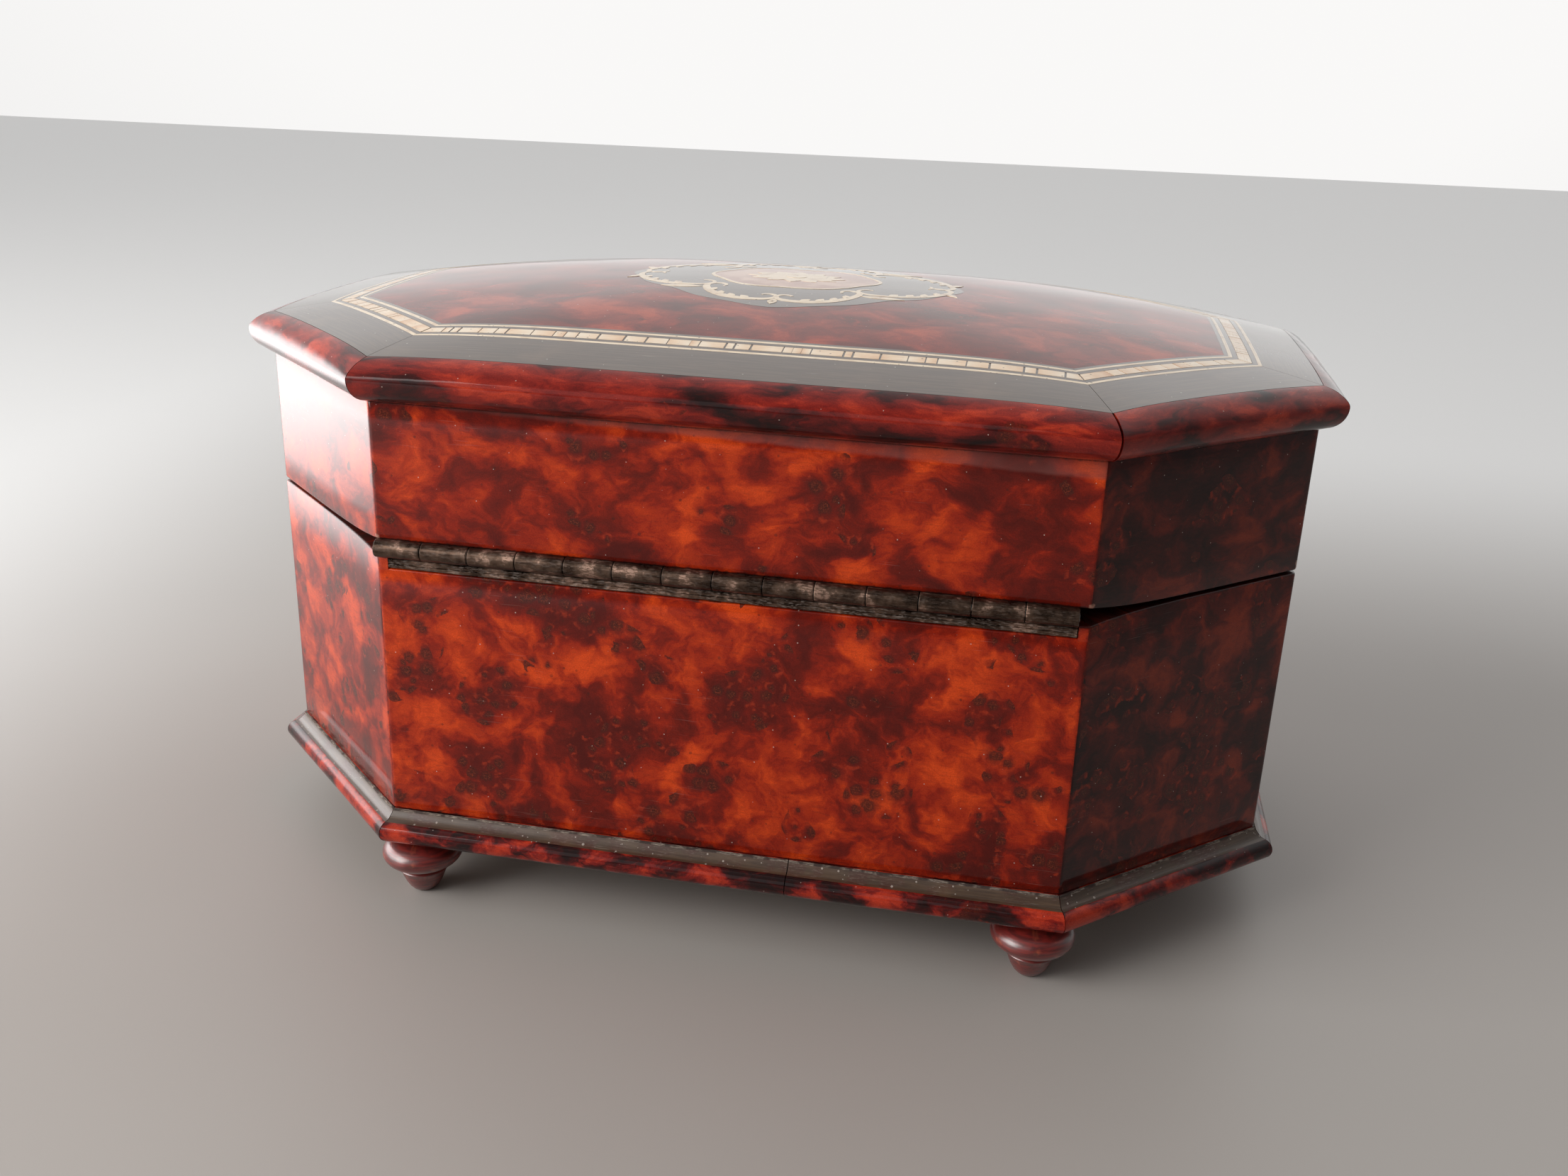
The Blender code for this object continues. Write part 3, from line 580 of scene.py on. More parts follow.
def board_edges(k, lowest, highest):
    """Dark, nicked polish along a board's ends, painted shade along its rims and into the seam, and pale
    chips over the seam by the hinge.
    """
    def shade(g, plane, colour):
        start, end = span(k)
        along = along_board(g, k)
        height = g.split(g.place())[2]
        ends = g.lowest(g.minus(along, start), g.minus(end, along))
        rims = g.lowest(g.minus(height, lowest), g.minus(highest, height))
        rims = g.lowest(rims, g.minus(off_the_seam(g, height), rim_gap(g)))
        ragged = g.noise(plane, 700.0, 3.0, 0.6)
        ragged = g.times(g.minus(ragged, 0.5), 0.0016)
        near_end = g.band(g.plus(ends, ragged), -0.0003, 0.0004, 0.55, 0.0)
        # Painted shade: the board is darkened within 0.6 mm of its rims, so the seam gap and the edges under
        # the mouldings look shaded.
        rim_painted_shade = g.band(g.plus(rims, ragged), 0.0000, 0.0006, 0.8, 0.0)
        nicks = g.band(g.noise(plane, 330.0, 2.0), 0.62, 0.68)
        nicks = g.times(nicks, g.band(g.plus(ends, ragged), 0.0002, 0.0007, 0.85, 0.0))
        # Near black: dark mitre joints at the board's ends, and painted shade along its rims.
        colour = g.mix(g.highest(near_end, rim_painted_shade), colour, rgb(0.016, 0.006, 0.005))
        colour = g.mix(nicks, colour, rgb(0.014, 0.008, 0.007))
        if k == FRONT:
            # Painted shade: the wall is near black behind the keyhole, standing in for the dark hole into
            # the lock.
            away = g.add("VectorMath", {0: g.place(), 1: KEYHOLE}, operation="DISTANCE").outputs[1]
            keyhole_painted_shade = g.band(away, 0.0045, 0.0048, 1.0, 0.0)
            colour = g.mix(keyhole_painted_shade, colour, rgb(0.006, 0.004, 0.003))
        beside_hinge = k in (BACK - 1, BACK, BACK + 1)
        if not beside_hinge:
            return colour
        off_seam = g.minus(off_the_seam(g, g.plus(height, 0.001)), 0.0035)
        wear = g.plus(g.highest(ends, off_seam), g.times(ragged, 1.2))
        on_lid = g.band(height, SEAM, SEAM + 0.001)
        chips = g.times(g.band(wear, 0.0003, 0.0009, 0.8, 0.0), on_lid)
        return g.mix(chips, colour, rgb(0.36, 0.18, 0.13))
    return shade


def hazed_under_moulding(k, start_depth, end_depth):
    """A bloom in the polish under the lid moulding, growing deeper along the board."""
    def bloom(g, plane):
        start, end = span(k)
        along = {0: along_board(g, k), 1: start, 2: end}
        depth = g.add("MapRange", {**along, 3: start_depth, 4: end_depth}).outputs[0]
        height = g.split(g.place())[2]
        below = g.minus(LID_WALL_TOP, height)
        ragged = g.times(g.minus(g.noise(plane, 160.0, 3.0), 0.5), 0.0010)
        inside = g.minus(depth, g.plus(below, ragged))
        cloud = g.band(g.noise(plane, 90.0, 2.0), 0.3, 0.6, 0.6, 1.0)
        return g.times(g.band(inside, 0.0, 0.0012), cloud)
    return bloom


def ebony(name, dusty=0.0):
    """Ebonised pear: near black with a brown grain, scratched through the polish."""
    g = Graph(name, Roughness=0.42, Specular_IOR_Level=0.3 if dusty else 0.5, Coat_Weight=1.0,
              Coat_Roughness=0.25 if dusty else 0.10, Coat_IOR=1.3 if dusty else 1.5)
    plane = uv_plane(g)
    grain = g.fibre(plane, 2.0, 60, 1500, 3.0, 0.6)
    patches = g.noise(plane, 70.0, 3.0)
    colour = g.mix(g.band(grain, 0.40, 0.66), rgb(0.050, 0.028, 0.016), rgb(0.082, 0.048, 0.028))
    colour = g.mix(g.band(patches, 0.50, 0.75, 0.0, 0.6), colour, rgb(0.115, 0.066, 0.036))
    marks = g.highest(scratches(g, plane, 58.0, 1.0, 0.45), scratches(g, plane, -20.0, 1.3, 0.25))
    dots = g.times(specks(g, plane, 210.0, 0.05, 0.25), 0.6)
    colour = g.mix(g.highest(marks, dots), colour, rgb(0.42, 0.38, 0.34))
    height = g.plus(g.times(g.noise(plane, 55.0, 1.0), 0.000060), g.times(marks, -0.000006))
    roughness = None
    if dusty:
        lint = g.fibre(plane, 12.0, 500, 2600, 4.0, 0.7)
        patches = g.noise(plane, 150.0, 3.0)
        film = g.times(g.band(lint, 0.50, 0.72), g.band(patches, 0.45, 0.62, 0.04, 0.35))
        crumbs = g.highest(specks(g, plane, 700.0, 0.20, 0.10), specks(g, plane, 330.0, 0.12, 0.20))
        dust = g.times(g.highest(film, crumbs), dusty)
        colour = g.mix(g.band(patches, 0.45, 0.65, 0.0, 0.5), colour, rgb(0.060, 0.012, 0.009))
        colour = g.mix(dust, colour, rgb(0.40, 0.34, 0.30))
        roughness = g.band(dust, 0.0, 0.5, 0.42, 0.9)
        height = g.plus(height, g.times(dust, 0.00005))
    g.bump(height)
    return g.finish(colour, roughness)


def maple(name, warm=0.0):
    """Pale maple with a fine grain, yellowed in places."""
    g = Graph(name, Roughness=0.45, Coat_Weight=0.8, Coat_Roughness=0.12)
    plane = uv_plane(g)
    grain = g.fibre(plane, 0.0, 120, 2600)
    stain = g.noise(plane, 160.0, 3.0)
    colour = g.mix(g.band(grain, 0.35, 0.65), rgb(0.84, 0.70, 0.52), rgb(0.70, 0.53, 0.36))
    colour = g.mix(g.band(stain, 0.52, 0.70, 0.0, 0.40 + warm), colour, rgb(0.42, 0.24, 0.12))
    dirt = specks(g, plane, 700.0, 0.25, 0.12)
    colour = g.mix(g.times(dirt, 0.7), colour, rgb(0.10, 0.06, 0.04))
    g.bump(g.times(grain, 0.000012))
    return g.finish(colour)


def tile_maple():
    """Sand-scorched tiles: cream at one end, tan at the other."""
    g = Graph("scorched_tiles", Roughness=0.42, Coat_Weight=0.8, Coat_Roughness=0.10)
    plane = uv_plane(g)
    tint = g.split(g.add("Attribute", {}, attribute_name="tint").outputs["Vector"])
    grain = g.fibre(plane, 90.0, 160, 2800)
    soft = g.noise(plane, 420.0, 2.0)
    scorch = g.plus(tint[0], g.times(g.minus(soft, 0.5), 0.5))
    colour = g.ramp(scorch, (
        (0.0, (0.86, 0.72, 0.55)),
        (0.35, (0.80, 0.58, 0.38)),
        (0.75, (0.64, 0.34, 0.16)),
        (1.0, (0.40, 0.17, 0.07)),
    ))
    colour = g.mix(g.band(grain, 0.35, 0.7, 0.0, 0.30), colour, rgb(0.45, 0.26, 0.13))
    dirt = specks(g, plane, 1100.0, 0.3, 0.06)
    colour = g.mix(g.times(dirt, 0.7), colour, rgb(0.1, 0.06, 0.04))
    g.bump(g.times(grain, 0.000015))
    return g.finish(colour)


def bronze(name, dust):
    """Old piano hinge: brown tarnish, coppery rubs and grey dirt drawn along it."""
    g = Graph(name)
    place = g.place()
    drawn = g.drawn(place, 90, 1500, 3.0, 0.6)
    blotch = g.noise(place, 170.0, 4.0, 0.6)
    fine = g.drawn(place, 700, 2400, 3.0, 0.7)
    colour = g.mix(g.band(blotch, 0.35, 0.62), rgb(0.036, 0.021, 0.014), rgb(0.120, 0.074, 0.052))
    colour = g.mix(g.band(drawn, 0.52, 0.72, 0.0, 0.75), colour, rgb(0.022, 0.012, 0.008))
    rub = g.times(g.band(blotch, 0.54, 0.62), g.band(fine, 0.46, 0.54, 0.15, 1.0))
    colour = g.mix(g.times(rub, 0.70), colour, rgb(0.46, 0.29, 0.22))
    film = g.times(g.band(fine, 0.46, 0.66), g.band(drawn, 0.30, 0.50, 0.45, 1.0))
    film = g.times(film, dust)
    colour = g.mix(film, colour, rgb(0.20, 0.16, 0.14))
    metallic = g.math("SUBTRACT", 0.9, g.times(film, 1.3), clamp=True)
    roughness = g.band(g.plus(blotch, film), 0.35, 0.95, 0.26, 0.70)
    g.bump(g.plus(g.times(drawn, 0.00005), g.times(fine, 0.00002)))
    return g.finish(colour, roughness, metallic)


def turned_maple():
    """Feet: red-stained wood, rubbed pale in places and dirty in others."""
    g = Graph("turned_red", Roughness=0.40, Coat_Weight=1.0, Coat_Roughness=0.24)
    plane = uv_plane(g)
    grain = g.fibre(plane, 90.0, 200, 1800)
    rubs = g.noise(plane, 260.0, 3.0)
    colour = g.mix(g.band(grain, 0.35, 0.65), rgb(0.080, 0.0080, 0.0075), rgb(0.190, 0.0150, 0.0110))
    colour = g.mix(g.band(rubs, 0.58, 0.72, 0.0, 0.6), colour, rgb(0.42, 0.085, 0.035))
    dark = g.noise(plane, 420.0, 2.0)
    colour = g.mix(g.band(dark, 0.60, 0.72, 0.0, 0.6), colour, rgb(0.035, 0.007, 0.006))
    g.bump(g.times(grain, 0.00003))
    return g.finish(colour)


def bare_wood():
    """The carcass: plain softwood with faint growth rings."""
    g = Graph("bare_softwood", Roughness=0.7)
    place = g.place()
    rings = g.drawn(place, 12, 260, 4.0, 0.6)
    fibre = g.drawn(place, 90, 2200)
    colour = g.mix(g.band(rings, 0.40, 0.60), rgb(0.36, 0.21, 0.105), rgb(0.21, 0.11, 0.050))
    colour = g.mix(g.band(fibre, 0.4, 0.7, 0.0, 0.35), colour, rgb(0.12, 0.06, 0.03))
    g.bump(g.times(fibre, 0.00004))
    return g.finish(colour)


def brass(name, tarnish):
    """Brushed brass under a patchy tarnish."""
    g = Graph(name, Metallic=1.0)
    place = g.place()
    brushed = g.drawn(place, 200, 3000)
    stain = g.noise(place, 220.0, 4.0, 0.6)
    colour = g.mix(g.band(stain, 0.40, 0.62), rgb(0.62, 0.42, 0.17), rgb(0.30, 0.18, 0.075))
    colour = g.mix(g.band(brushed, 0.5, 0.7, 0.0, tarnish), colour, rgb(0.12, 0.08, 0.045))
    g.bump(g.times(brushed, 0.00001))
    return g.finish(colour, g.band(stain, 0.35, 0.7, 0.24, 0.5))


def steel():
    """Drawn steel with a little rust."""
    g = Graph("dull_steel", Metallic=1.0)
    place = g.place()
    drawn = g.drawn(place, 60, 2600)
    rust = g.noise(place, 320.0, 3.0)
    colour = g.mix(g.band(drawn, 0.4, 0.6), rgb(0.40, 0.39, 0.37), rgb(0.26, 0.25, 0.24))
    colour = g.mix(g.band(rust, 0.60, 0.72, 0.0, 0.7), colour, rgb(0.11, 0.045, 0.02))
    g.bump(g.times(drawn, 0.00001))
    return g.finish(colour, g.band(rust, 0.4, 0.7, 0.3, 0.6))


def satin(name, light, deep):
    """Satin with a fine weave, ribbed along one way, and a soft sheen."""
    g = Graph(name, Roughness=0.5, Sheen_Weight=0.5, Sheen_Roughness=0.4)
    plane = top_plane(g)
    x, y, _ = g.split(plane)
    warp = g.math("SINE", g.times(x, 2 * math.pi * 1600))
    weft = g.math("SINE", g.times(y, 2 * math.pi * 1100))
    weave = g.plus(g.times(warp, 0.5), g.times(weft, 0.3))
    slub = g.fibre(plane, 0.0, 60, 1800)
    fade = g.noise(plane, 28.0, 3.0)
    colour = g.mix(g.band(slub, 0.35, 0.68), deep, light)
    colour = g.mix(g.band(weave, -0.4, 0.8, 0.0, 0.18), colour, light)
    colour = g.mix(g.band(fade, 0.55, 0.75, 0.0, 0.35), colour, rgb(0.42, 0.13, 0.10))
    g.bump(g.plus(g.times(weave, 0.000012), g.times(slub, 0.00003)))
    return g.finish(colour, g.band(slub, 0.3, 0.7, 0.42, 0.62))


# ---- walls -------------------------------------------------------------------------------------
def level(height):
    """A height that is the same everywhere."""
    return lambda x, y: height


def raised(height, rise):
    """Another height function, raised by rise."""
    return lambda x, y: height(x, y) + rise


def body_rim(x, y):
    return SEAM - seam_gap(x, y)


def lid_rim(x, y):
    return SEAM + seam_gap(x, y)


def board_profile(low, high, depth=WALL_THICKNESS):
    """A board's section between two heights, with eased outer edges."""
    ease = 0.00045
    face = [(-ease, low), (-0.3 * ease, raised(low, 0.3 * ease)), (0, raised(low, ease))]
    face += [(0, lambda x, y, t=t: low(x, y) + (high(x, y) - low(x, y)) * t) for t in (0.2, 0.4, 0.6, 0.8)]
    face += [(0, raised(high, -ease)), (-0.3 * ease, raised(high, -0.3 * ease)), (-ease, high)]
    return [(-depth, low), *face, (-depth, high)]


def rounded_corner(u, v, edge):
    """Draws the face in close to a mitre, so that two boards meet in a soft arris."""
    radius, reach = 0.0017, 0.0007
    inside = max(0.0, reach - edge)
    slow = noise.noise(Vector((u * 22, v * 22, 1.7))) * 0.00004
    return (math.sqrt(radius * radius - inside * inside) - radius + slow, 0.0)


def station_shares(length, middle_steps):
    """Shares of a length, close together at both mitres."""
    near = [d / length for d in (0.0, 0.00018, 0.00036, 0.00054, 0.00075, 0.0015)]
    rest = [near[-1] + (1 - 2 * near[-1]) * s / middle_steps for s in range(1, middle_steps)]
    return near + rest + [1 - share for share in reversed(near)]


def make_boards():
    """The sixteen veneered boards, each with its own leaf of burl; the back_left pair takes darker tones as
    painted shade.
    """
    for k, side in enumerate(SIDES):
        # The back_left boards take the darker tones as painted shade; all other boards take the plain burl
        # tones.
        tones = PAINTED_SHADE_TONES if side == "back_left" else BURL_TONES
        start, end = span(k)
        shares = station_shares(end - start, 24)
        lower, upper = Shape(), Shape()
        if side == "back":
            low_rim, high_rim = level(SEAM - LIP_BOTTOM), level(SEAM + LEAF_SEAT)
            leaf_low, leaf_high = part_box("hinge_lower_leaf")
            beside = board_profile(level(SEAM - LIP_BOTTOM - 0.001), level(SEAM - LEAF_SEAT), 0.0045)
            for ends in ((None, -leaf_high.x - 0.0002), (-leaf_low.x + 0.0002, None)):
                add_length(lower, k, beside, steps=6, ends=ends, wave=rounded_corner)
        else:
            low_rim, high_rim = body_rim, lid_rim
        sections = (board_profile(level(WALL_BOTTOM), low_rim), board_profile(high_rim, level(LID_WALL_TOP)))
        for shape, section in zip((lower, upper), sections):
            add_length(shape, k, section, steps=shares, shift=(0.00002, 0.00002), wave=rounded_corner)
        lower_burl = burl("burl_" + side, board_plane(k, 1.0 + k), tones=tones,
                          finish_edges=board_edges(k, WALL_BOTTOM, SEAM - SEAM_HALF_GAP))
        haze = hazed_under_moulding(k, 0.0006, 0.0050) if side == "back" else None
        upper_burl = burl("burl_lid_" + side, board_plane(k, 11.0 + k), tones=tones,
                          stretch=(0.8, 1.1), lean=-25.0, cluster=(0.55, 0.74),
                          finish_edges=board_edges(k, SEAM + SEAM_HALF_GAP, LID_WALL_TOP), haze=haze)
        finish_piece(lower.build("board_" + side, [lower_burl], 60), "box", ["wall_" + side])
        finish_piece(upper.build("lid_board_" + side, [upper_burl], 60), "lid",
                     ["lid_wall_" + side])


def paint(node, material):
    """Gives one of the frame's nodes its material."""
    node.data.materials.clear()
    node.data.materials.append(material)


def ease_edges(node, width, segments=3):
    """Rounds a node's sharp edges without moving its vertices."""
    weld = node.modifiers.new("weld", "WELD")
    weld.merge_threshold = 0.00001
    bevel = node.modifiers.new("ease", "BEVEL")
    bevel.width = width
    bevel.segments = segments
    bevel.limit_method = "ANGLE"
    bevel.angle_limit = math.radians(30)
    bevel.harden_normals = False
    normals = node.modifiers.new("normals", "WEIGHTED_NORMAL")
    normals.keep_sharp = False


# ---- mouldings ---------------------------------------------------------------------------------
def worn(amount, seed):
    """A push out and up that stands for hand work and knocks, as a function of u and v."""
    def push(u, v, edge):
        slow = noise.noise(Vector((u * 45, v * 160, seed)))
        quick = noise.noise(Vector((u * 260, v * 420, seed + 9)))
        return (amount * (slow + 0.35 * quick), amount * 0.5 * quick)
    return push


def lid_moulding_profile():
    foot = LID_WALL_TOP + 0.00005
    middle = LID_WALL_TOP + 0.0003 + (DOME_EDGE - LID_WALL_TOP - 0.0003) / 2
    reach_out = 0.0059
    inner = -0.00055
    under = arc((-0.0002, middle), (reach_out + 0.0002, middle - foot), -88, 0, 12)
    reach = reach_out - inner

    def rise(degrees):
        share = math.sin(math.radians(degrees))
        return lambda x, y: middle + share * (dome(x, y) - middle)

    over = [(inner + reach * math.cos(math.radians(a)), rise(a)) for a in range(7, 91, 7)]
    return [(inner, foot), *under, *over, (inner, on_dome(0.0))]


def make_lid_mouldings():
    """Eight half-round lengths round the lid, with small gaps at the mitres."""
    gaps = {2: (0.00012, 0.00030), 3: (0.00030, 0.00010)}
    for k, side in enumerate(SIDES):
        shape = Shape()
        add_length(shape, k, lid_moulding_profile(), steps=70 if k in LONG_SIDES else 40,
                   shift=gaps.get(k, (0.0001, 0.0001)), wave=worn(0.00010, 3.0 + k))
        material = burl("moulding_burl_" + side, uv_plane, tones=MOULDING_TONES, stretch=(0.6, 1.4),
                        low=0.28, high=0.74, eyes=0.6, cluster=(0.58, 0.78))
        obj = shape.build("lid_edge_" + side, [material])
        finish_piece(obj, "lid", ["lid_moulding_" + side])


def base_moulding_profile():
    """Returns the section and a material number for each of its edges: 0 burl, 1 ebonised, 2 dust."""
    inner = -0.0027
    bead = arc((0.0028, FOOT_HEIGHT + 0.0029), (0.0027, 0.0029), -90, 72, 18)
    hollow = [(0.0033, 0.0232), (0.0027, 0.0233), (0.0021, 0.0236), (0.0016, 0.0241), (0.0010, 0.0248)]
    top = WALL_BOTTOM - 0.0001
    fillet = [(0.0006, 0.0254), (0.0005, 0.0256), (0.0004, top - 0.0001), (0.0, top)]
    profile = [(inner, FOOT_HEIGHT), *bead, *hollow, *fillet, (inner, top)]
    zones = [0] * (len(bead) + 1) + [1] * len(hollow) + [2] * (len(fillet) - 1) + [0, 0]
    return profile, zones[:len(profile)]


def make_base_mouldings():
    """Nine lengths round the foot: a burl bead, a dusty hollow and a dust line."""
    profile, zones = base_moulding_profile()
    bead = burl("base_bead_burl", uv_plane, tones=BEAD_TONES, stretch=(1.2, 1.7), low=0.33, high=0.66,
                eyes=0.5, cluster=(0.58, 0.78))
    cove = ebony("dusty_ebony", dusty=0.75)
    dust = dust_line()
    butt = -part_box("base_moulding_back_short")[1].x
    pieces = [(k, side, (None, None)) for k, side in enumerate(SIDES) if k != BACK]
    pieces += [(BACK, "back_long", (None, butt - 0.00012)), (BACK, "back_short", (butt + 0.00012, None))]
    for k, tag, ends in pieces:
        shape = Shape()
        add_length(shape, k, profile, steps=60 if k in LONG_SIDES else 36, ends=ends, shift=(0.0001, 0.0001),
                   wave=worn(0.00010, 23.0 + k), zones=zones)
        obj = shape.build("base_edge_" + tag, [bead, cove, dust])
        finish_piece(obj, "box", ["base_moulding_" + tag])


def dust_line():
    """Pale dry dust and old wax packed against the wall."""
    g = Graph("packed_dust", Roughness=0.9)
    plane = uv_plane(g)
    lint = g.fibre(plane, 8.0, 500, 4200, 4.0, 0.7)
    clumps = g.noise(plane, 300.0, 3.0)
    colour = g.mix(g.band(lint, 0.42, 0.66), rgb(0.060, 0.040, 0.032), rgb(0.33, 0.27, 0.22))
    colour = g.mix(g.band(clumps, 0.46, 0.60, 0.0, 0.9), colour, rgb(0.030, 0.016, 0.013))
    g.bump(g.times(lint, 0.00012))
    return g.finish(colour)


# ---- feet --------------------------------------------------------------------------------------
def make_feet():
    """Four turned feet: a bun over a thin ridge and a tapered cup."""
    cup = [(0.0, 0.0), (0.0024, 0.0), (0.0033, 0.0004), (0.0042, 0.0014), (0.0050, 0.0028), (0.0057, 0.0045)]
    ridge = [(0.0062, 0.0060), (0.0066, 0.0064), (0.0067, 0.0067), (0.0065, 0.0070), (0.0062, 0.0072)]
    neck = [*cup, *ridge]
    bun = arc((0.0017, 0.0117), (0.0091, 0.0047), -60, 84, 22)
    profile = [*neck, *bun, (0.0016, FOOT_HEIGHT - 0.0001), (0.0, FOOT_HEIGHT - 0.0001)]
    profile = [(max(radius, 0.00002), rise) for radius, rise in profile]
    material = turned_maple()
    for node in FEET:
        low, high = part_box(node)
        shape = Shape()
        add_turned(shape, profile, Vector(((low.x + high.x) / 2, (low.y + high.y) / 2, 0)))
        finish_piece(shape.build("turned_" + node, [material]), "box", [node])


# ---- lid top -----------------------------------------------------------------------------------
def veneer_profile(outer, inner, lift, across=2, depth=0.0006):
    """A strip of veneer between two insets, its top on the dome."""
    top = [(-outer - (outer - inner) * -s / across, on_dome(lift)) for s in range(across + 1)]
    return [(-outer, on_dome(lift - depth)), *top, (-inner, on_dome(lift - depth))]


def make_strip_ring(name, outer, inner, material, replaced, lift=0.0, across=2, gap=0.00002,
                    steps=40):
    """Eight mitred lengths of veneer between two insets."""
    shape = Shape()
    for k in range(8):
        add_length(shape, k, veneer_profile(outer, inner, lift, across), steps=steps, shift=(gap, gap))
    finish_piece(shape.build(name, [material], 50), "lid", replaced)


def make_banding():
    """The border and the lines inside it, from the lid's edge inwards."""
    border = ebony("ebonised_border")
    dark = ebony("ebonised_line")
    string = maple("maple_string")
    make_strip_ring("border_veneer", 0.00070, 0.01478, border, ["lid_border"],
                    across=8, gap=0.00006, steps=60)
    make_strip_ring("string_line_outer", 0.01480, 0.01575, string, ["string_outer"], 0.00003)
    make_strip_ring("dark_line_outer", 0.01577, 0.01708, dark, ["ebony_line_outer"])
    make_strip_ring("tile_bed", 0.01710, 0.02052, dark, [], -0.00008)
    make_strip_ring("dark_line_inner", 0.02054, 0.02188, dark, ["ebony_line_inner"])
    make_strip_ring("string_line_inner", 0.02190, 0.02285, string, ["string_inner"], 0.00003)
    make_strip_ring("dark_line_field", 0.02287, 0.02398, dark, [])
    make_tiles(0.01722, 0.02040)


def tile_lengths(total):
    """Random tile ends along one side."""
    marks = [0.0]
    while marks[-1] < total - 0.009:
        marks.append(marks[-1] + RANDOM.choice((0.0022, 0.0030, 0.0040, 0.0055, 0.0066, 0.0080)))
    marks.append(total)
    return marks


def make_tiles(outer, inner):
    """Single tiles of changing length, with wide glue joints and some hairline splits."""
    shape = Shape()
    profile = veneer_profile(outer, inner, 0.00003, across=2, depth=0.0004)
    for k in range(8):
        first, last = span(k, -inner)
        marks = tile_lengths(last - first)
        for a, b in zip(marks, marks[1:]):
            joint = RANDOM.choice((0.00005, 0.00022, 0.00026))
            start = None if a == 0 else first + a + joint
            end = None if b == marks[-1] else first + b - joint
            tone, slope = RANDOM.uniform(0.05, 0.45), RANDOM.choice((-0.5, -0.3, 0.3, 0.5))
            add_length(shape, k, profile, steps=5, ends=(start, end), shift=(0.00025, 0.00025),
                       tints=lambda share, t=tone, m=slope: (t + m * (share - 0.5), 0, 0))
    finish_piece(shape.build("banding_tiles", [tile_maple()], 50), "lid", ["block_band"])


def make_field():
    """The burl field: one domed sheet to the middle, with a thin edge."""
    shape = Shape()
    rings = 44
    loop = octagon_loop(0.0240, 26)
    points = [(p.x, p.y, dome(p.x, p.y) - 0.0006) for p in loop]
    for r in range(rings):
        share = 1 - r / rings
        points += [(p.x * share, p.y * share, dome(p.x * share, p.y * share)) for p in loop]
    points.append((0, 0, dome(0, 0)))
    shape.add(points, domed_faces(rings + 1, len(loop)))
    material = burl("burl_lid_field", top_plane, tones=FIELD_TONES, stretch=(0.6, 0.8), eyes=0.6,
                    cluster=(0.58, 0.78))
    finish_piece(shape.build("field_veneer", [material], 50), "lid", ["lid_field"])


# ---- cartouche: a generic scroll inlay ---------------------------------------------------------
def add_patch(shape, outline, lift, depth=0.0004, rings=8):
    """A flat inlay cut to outline, lying on the dome."""
    middle = sum(outline, Vector((0, 0))) / len(outline)
    points = [(p.x, p.y, dome(p.x, p.y) + lift - depth) for p in outline]
    for r in range(rings):
        for p in outline:
            q = middle.lerp(p, 1 - r / rings)
            points.append((q.x, q.y, dome(q.x, q.y) + lift))
    points.append((middle.x, middle.y, dome(middle.x, middle.y) + lift))
    shape.add(points, domed_faces(rings + 1, len(outline)))


def add_ribbon(shape, line, widths, lift, depth=0.0003):
    """A flat ribbon of changing width along a line on the dome."""
    points = []
    for i, p in enumerate(line):
        before, after = line[max(i - 1, 0)], line[min(i + 1, len(line) - 1)]
        across = (after - before).orthogonal().normalized() * widths[i] / 2
        for side, rise in ((-1, -depth), (-1, 0), (1, 0), (1, -depth)):
            q = p + across * side
            points.append((q.x, q.y, dome(q.x, q.y) + lift + rise))
    shape.add(points, tube_faces(len(line), 4))


def c_scroll(start, end, turn, curl, curl_share=0.24, steps=72):
    """An arc from start to end that bends by turn degrees, both tails curled in by curl degrees."""
    line = [Vector((0, 0))]
    marks = []
    for s in range(steps):
        share = (s + 0.5) / steps
        if share < curl_share:
            tail = 1 - share / curl_share
            heading = -turn / 2 - curl * tail ** 1.4
        elif share > 1 - curl_share:
            tail = (share - 1 + curl_share) / curl_share
            heading = turn / 2 + curl * tail ** 1.4
        else:
            heading = -turn / 2 + turn * (share - curl_share) / (1 - 2 * curl_share)
            marks.append(len(line) - 1)
        angle = math.radians(heading)
        line.append(line[-1] + Vector((math.cos(angle), math.sin(angle))))
    first, last = line[marks[0]], line[marks[-1] + 1]
    chord, wanted = last - first, end - start
    scale = wanted.length / chord.length
    spin = Matrix.Rotation(math.atan2(wanted.y, wanted.x) - math.atan2(chord.y, chord.x), 2)
    return [start + spin @ (p - first) * scale for p in line]


def swelling(count, thin, thick):
    """Widths that grow to the middle and shrink again."""
    return [thin + (thick - thin) * math.sin(math.pi * i / (count - 1)) for i in range(count)]


def leaf(base, tip, width, steps=8):
    """A pointed leaf outline from base to tip."""
    spine = tip - base
    across = spine.orthogonal().normalized()

    def edge(s, sign):
        return base + spine * (s / steps) + sign * across * width / 2 * math.sin(math.pi * s / steps)

    return [edge(s, 1) for s in range(steps)] + [edge(s, -1) for s in range(steps, 0, -1)]


def lobed_outline(half_length, half_width, lobes, depth, count=160):
    """An oval with shallow lobes."""
    outline = []
    for s in range(count):
        angle = 2 * math.pi * s / count
        swell = 1 + depth * math.cos(lobes * angle)
        outline.append(Vector((half_length * swell * math.cos(angle), half_width * swell * math.sin(angle))))
    return outline


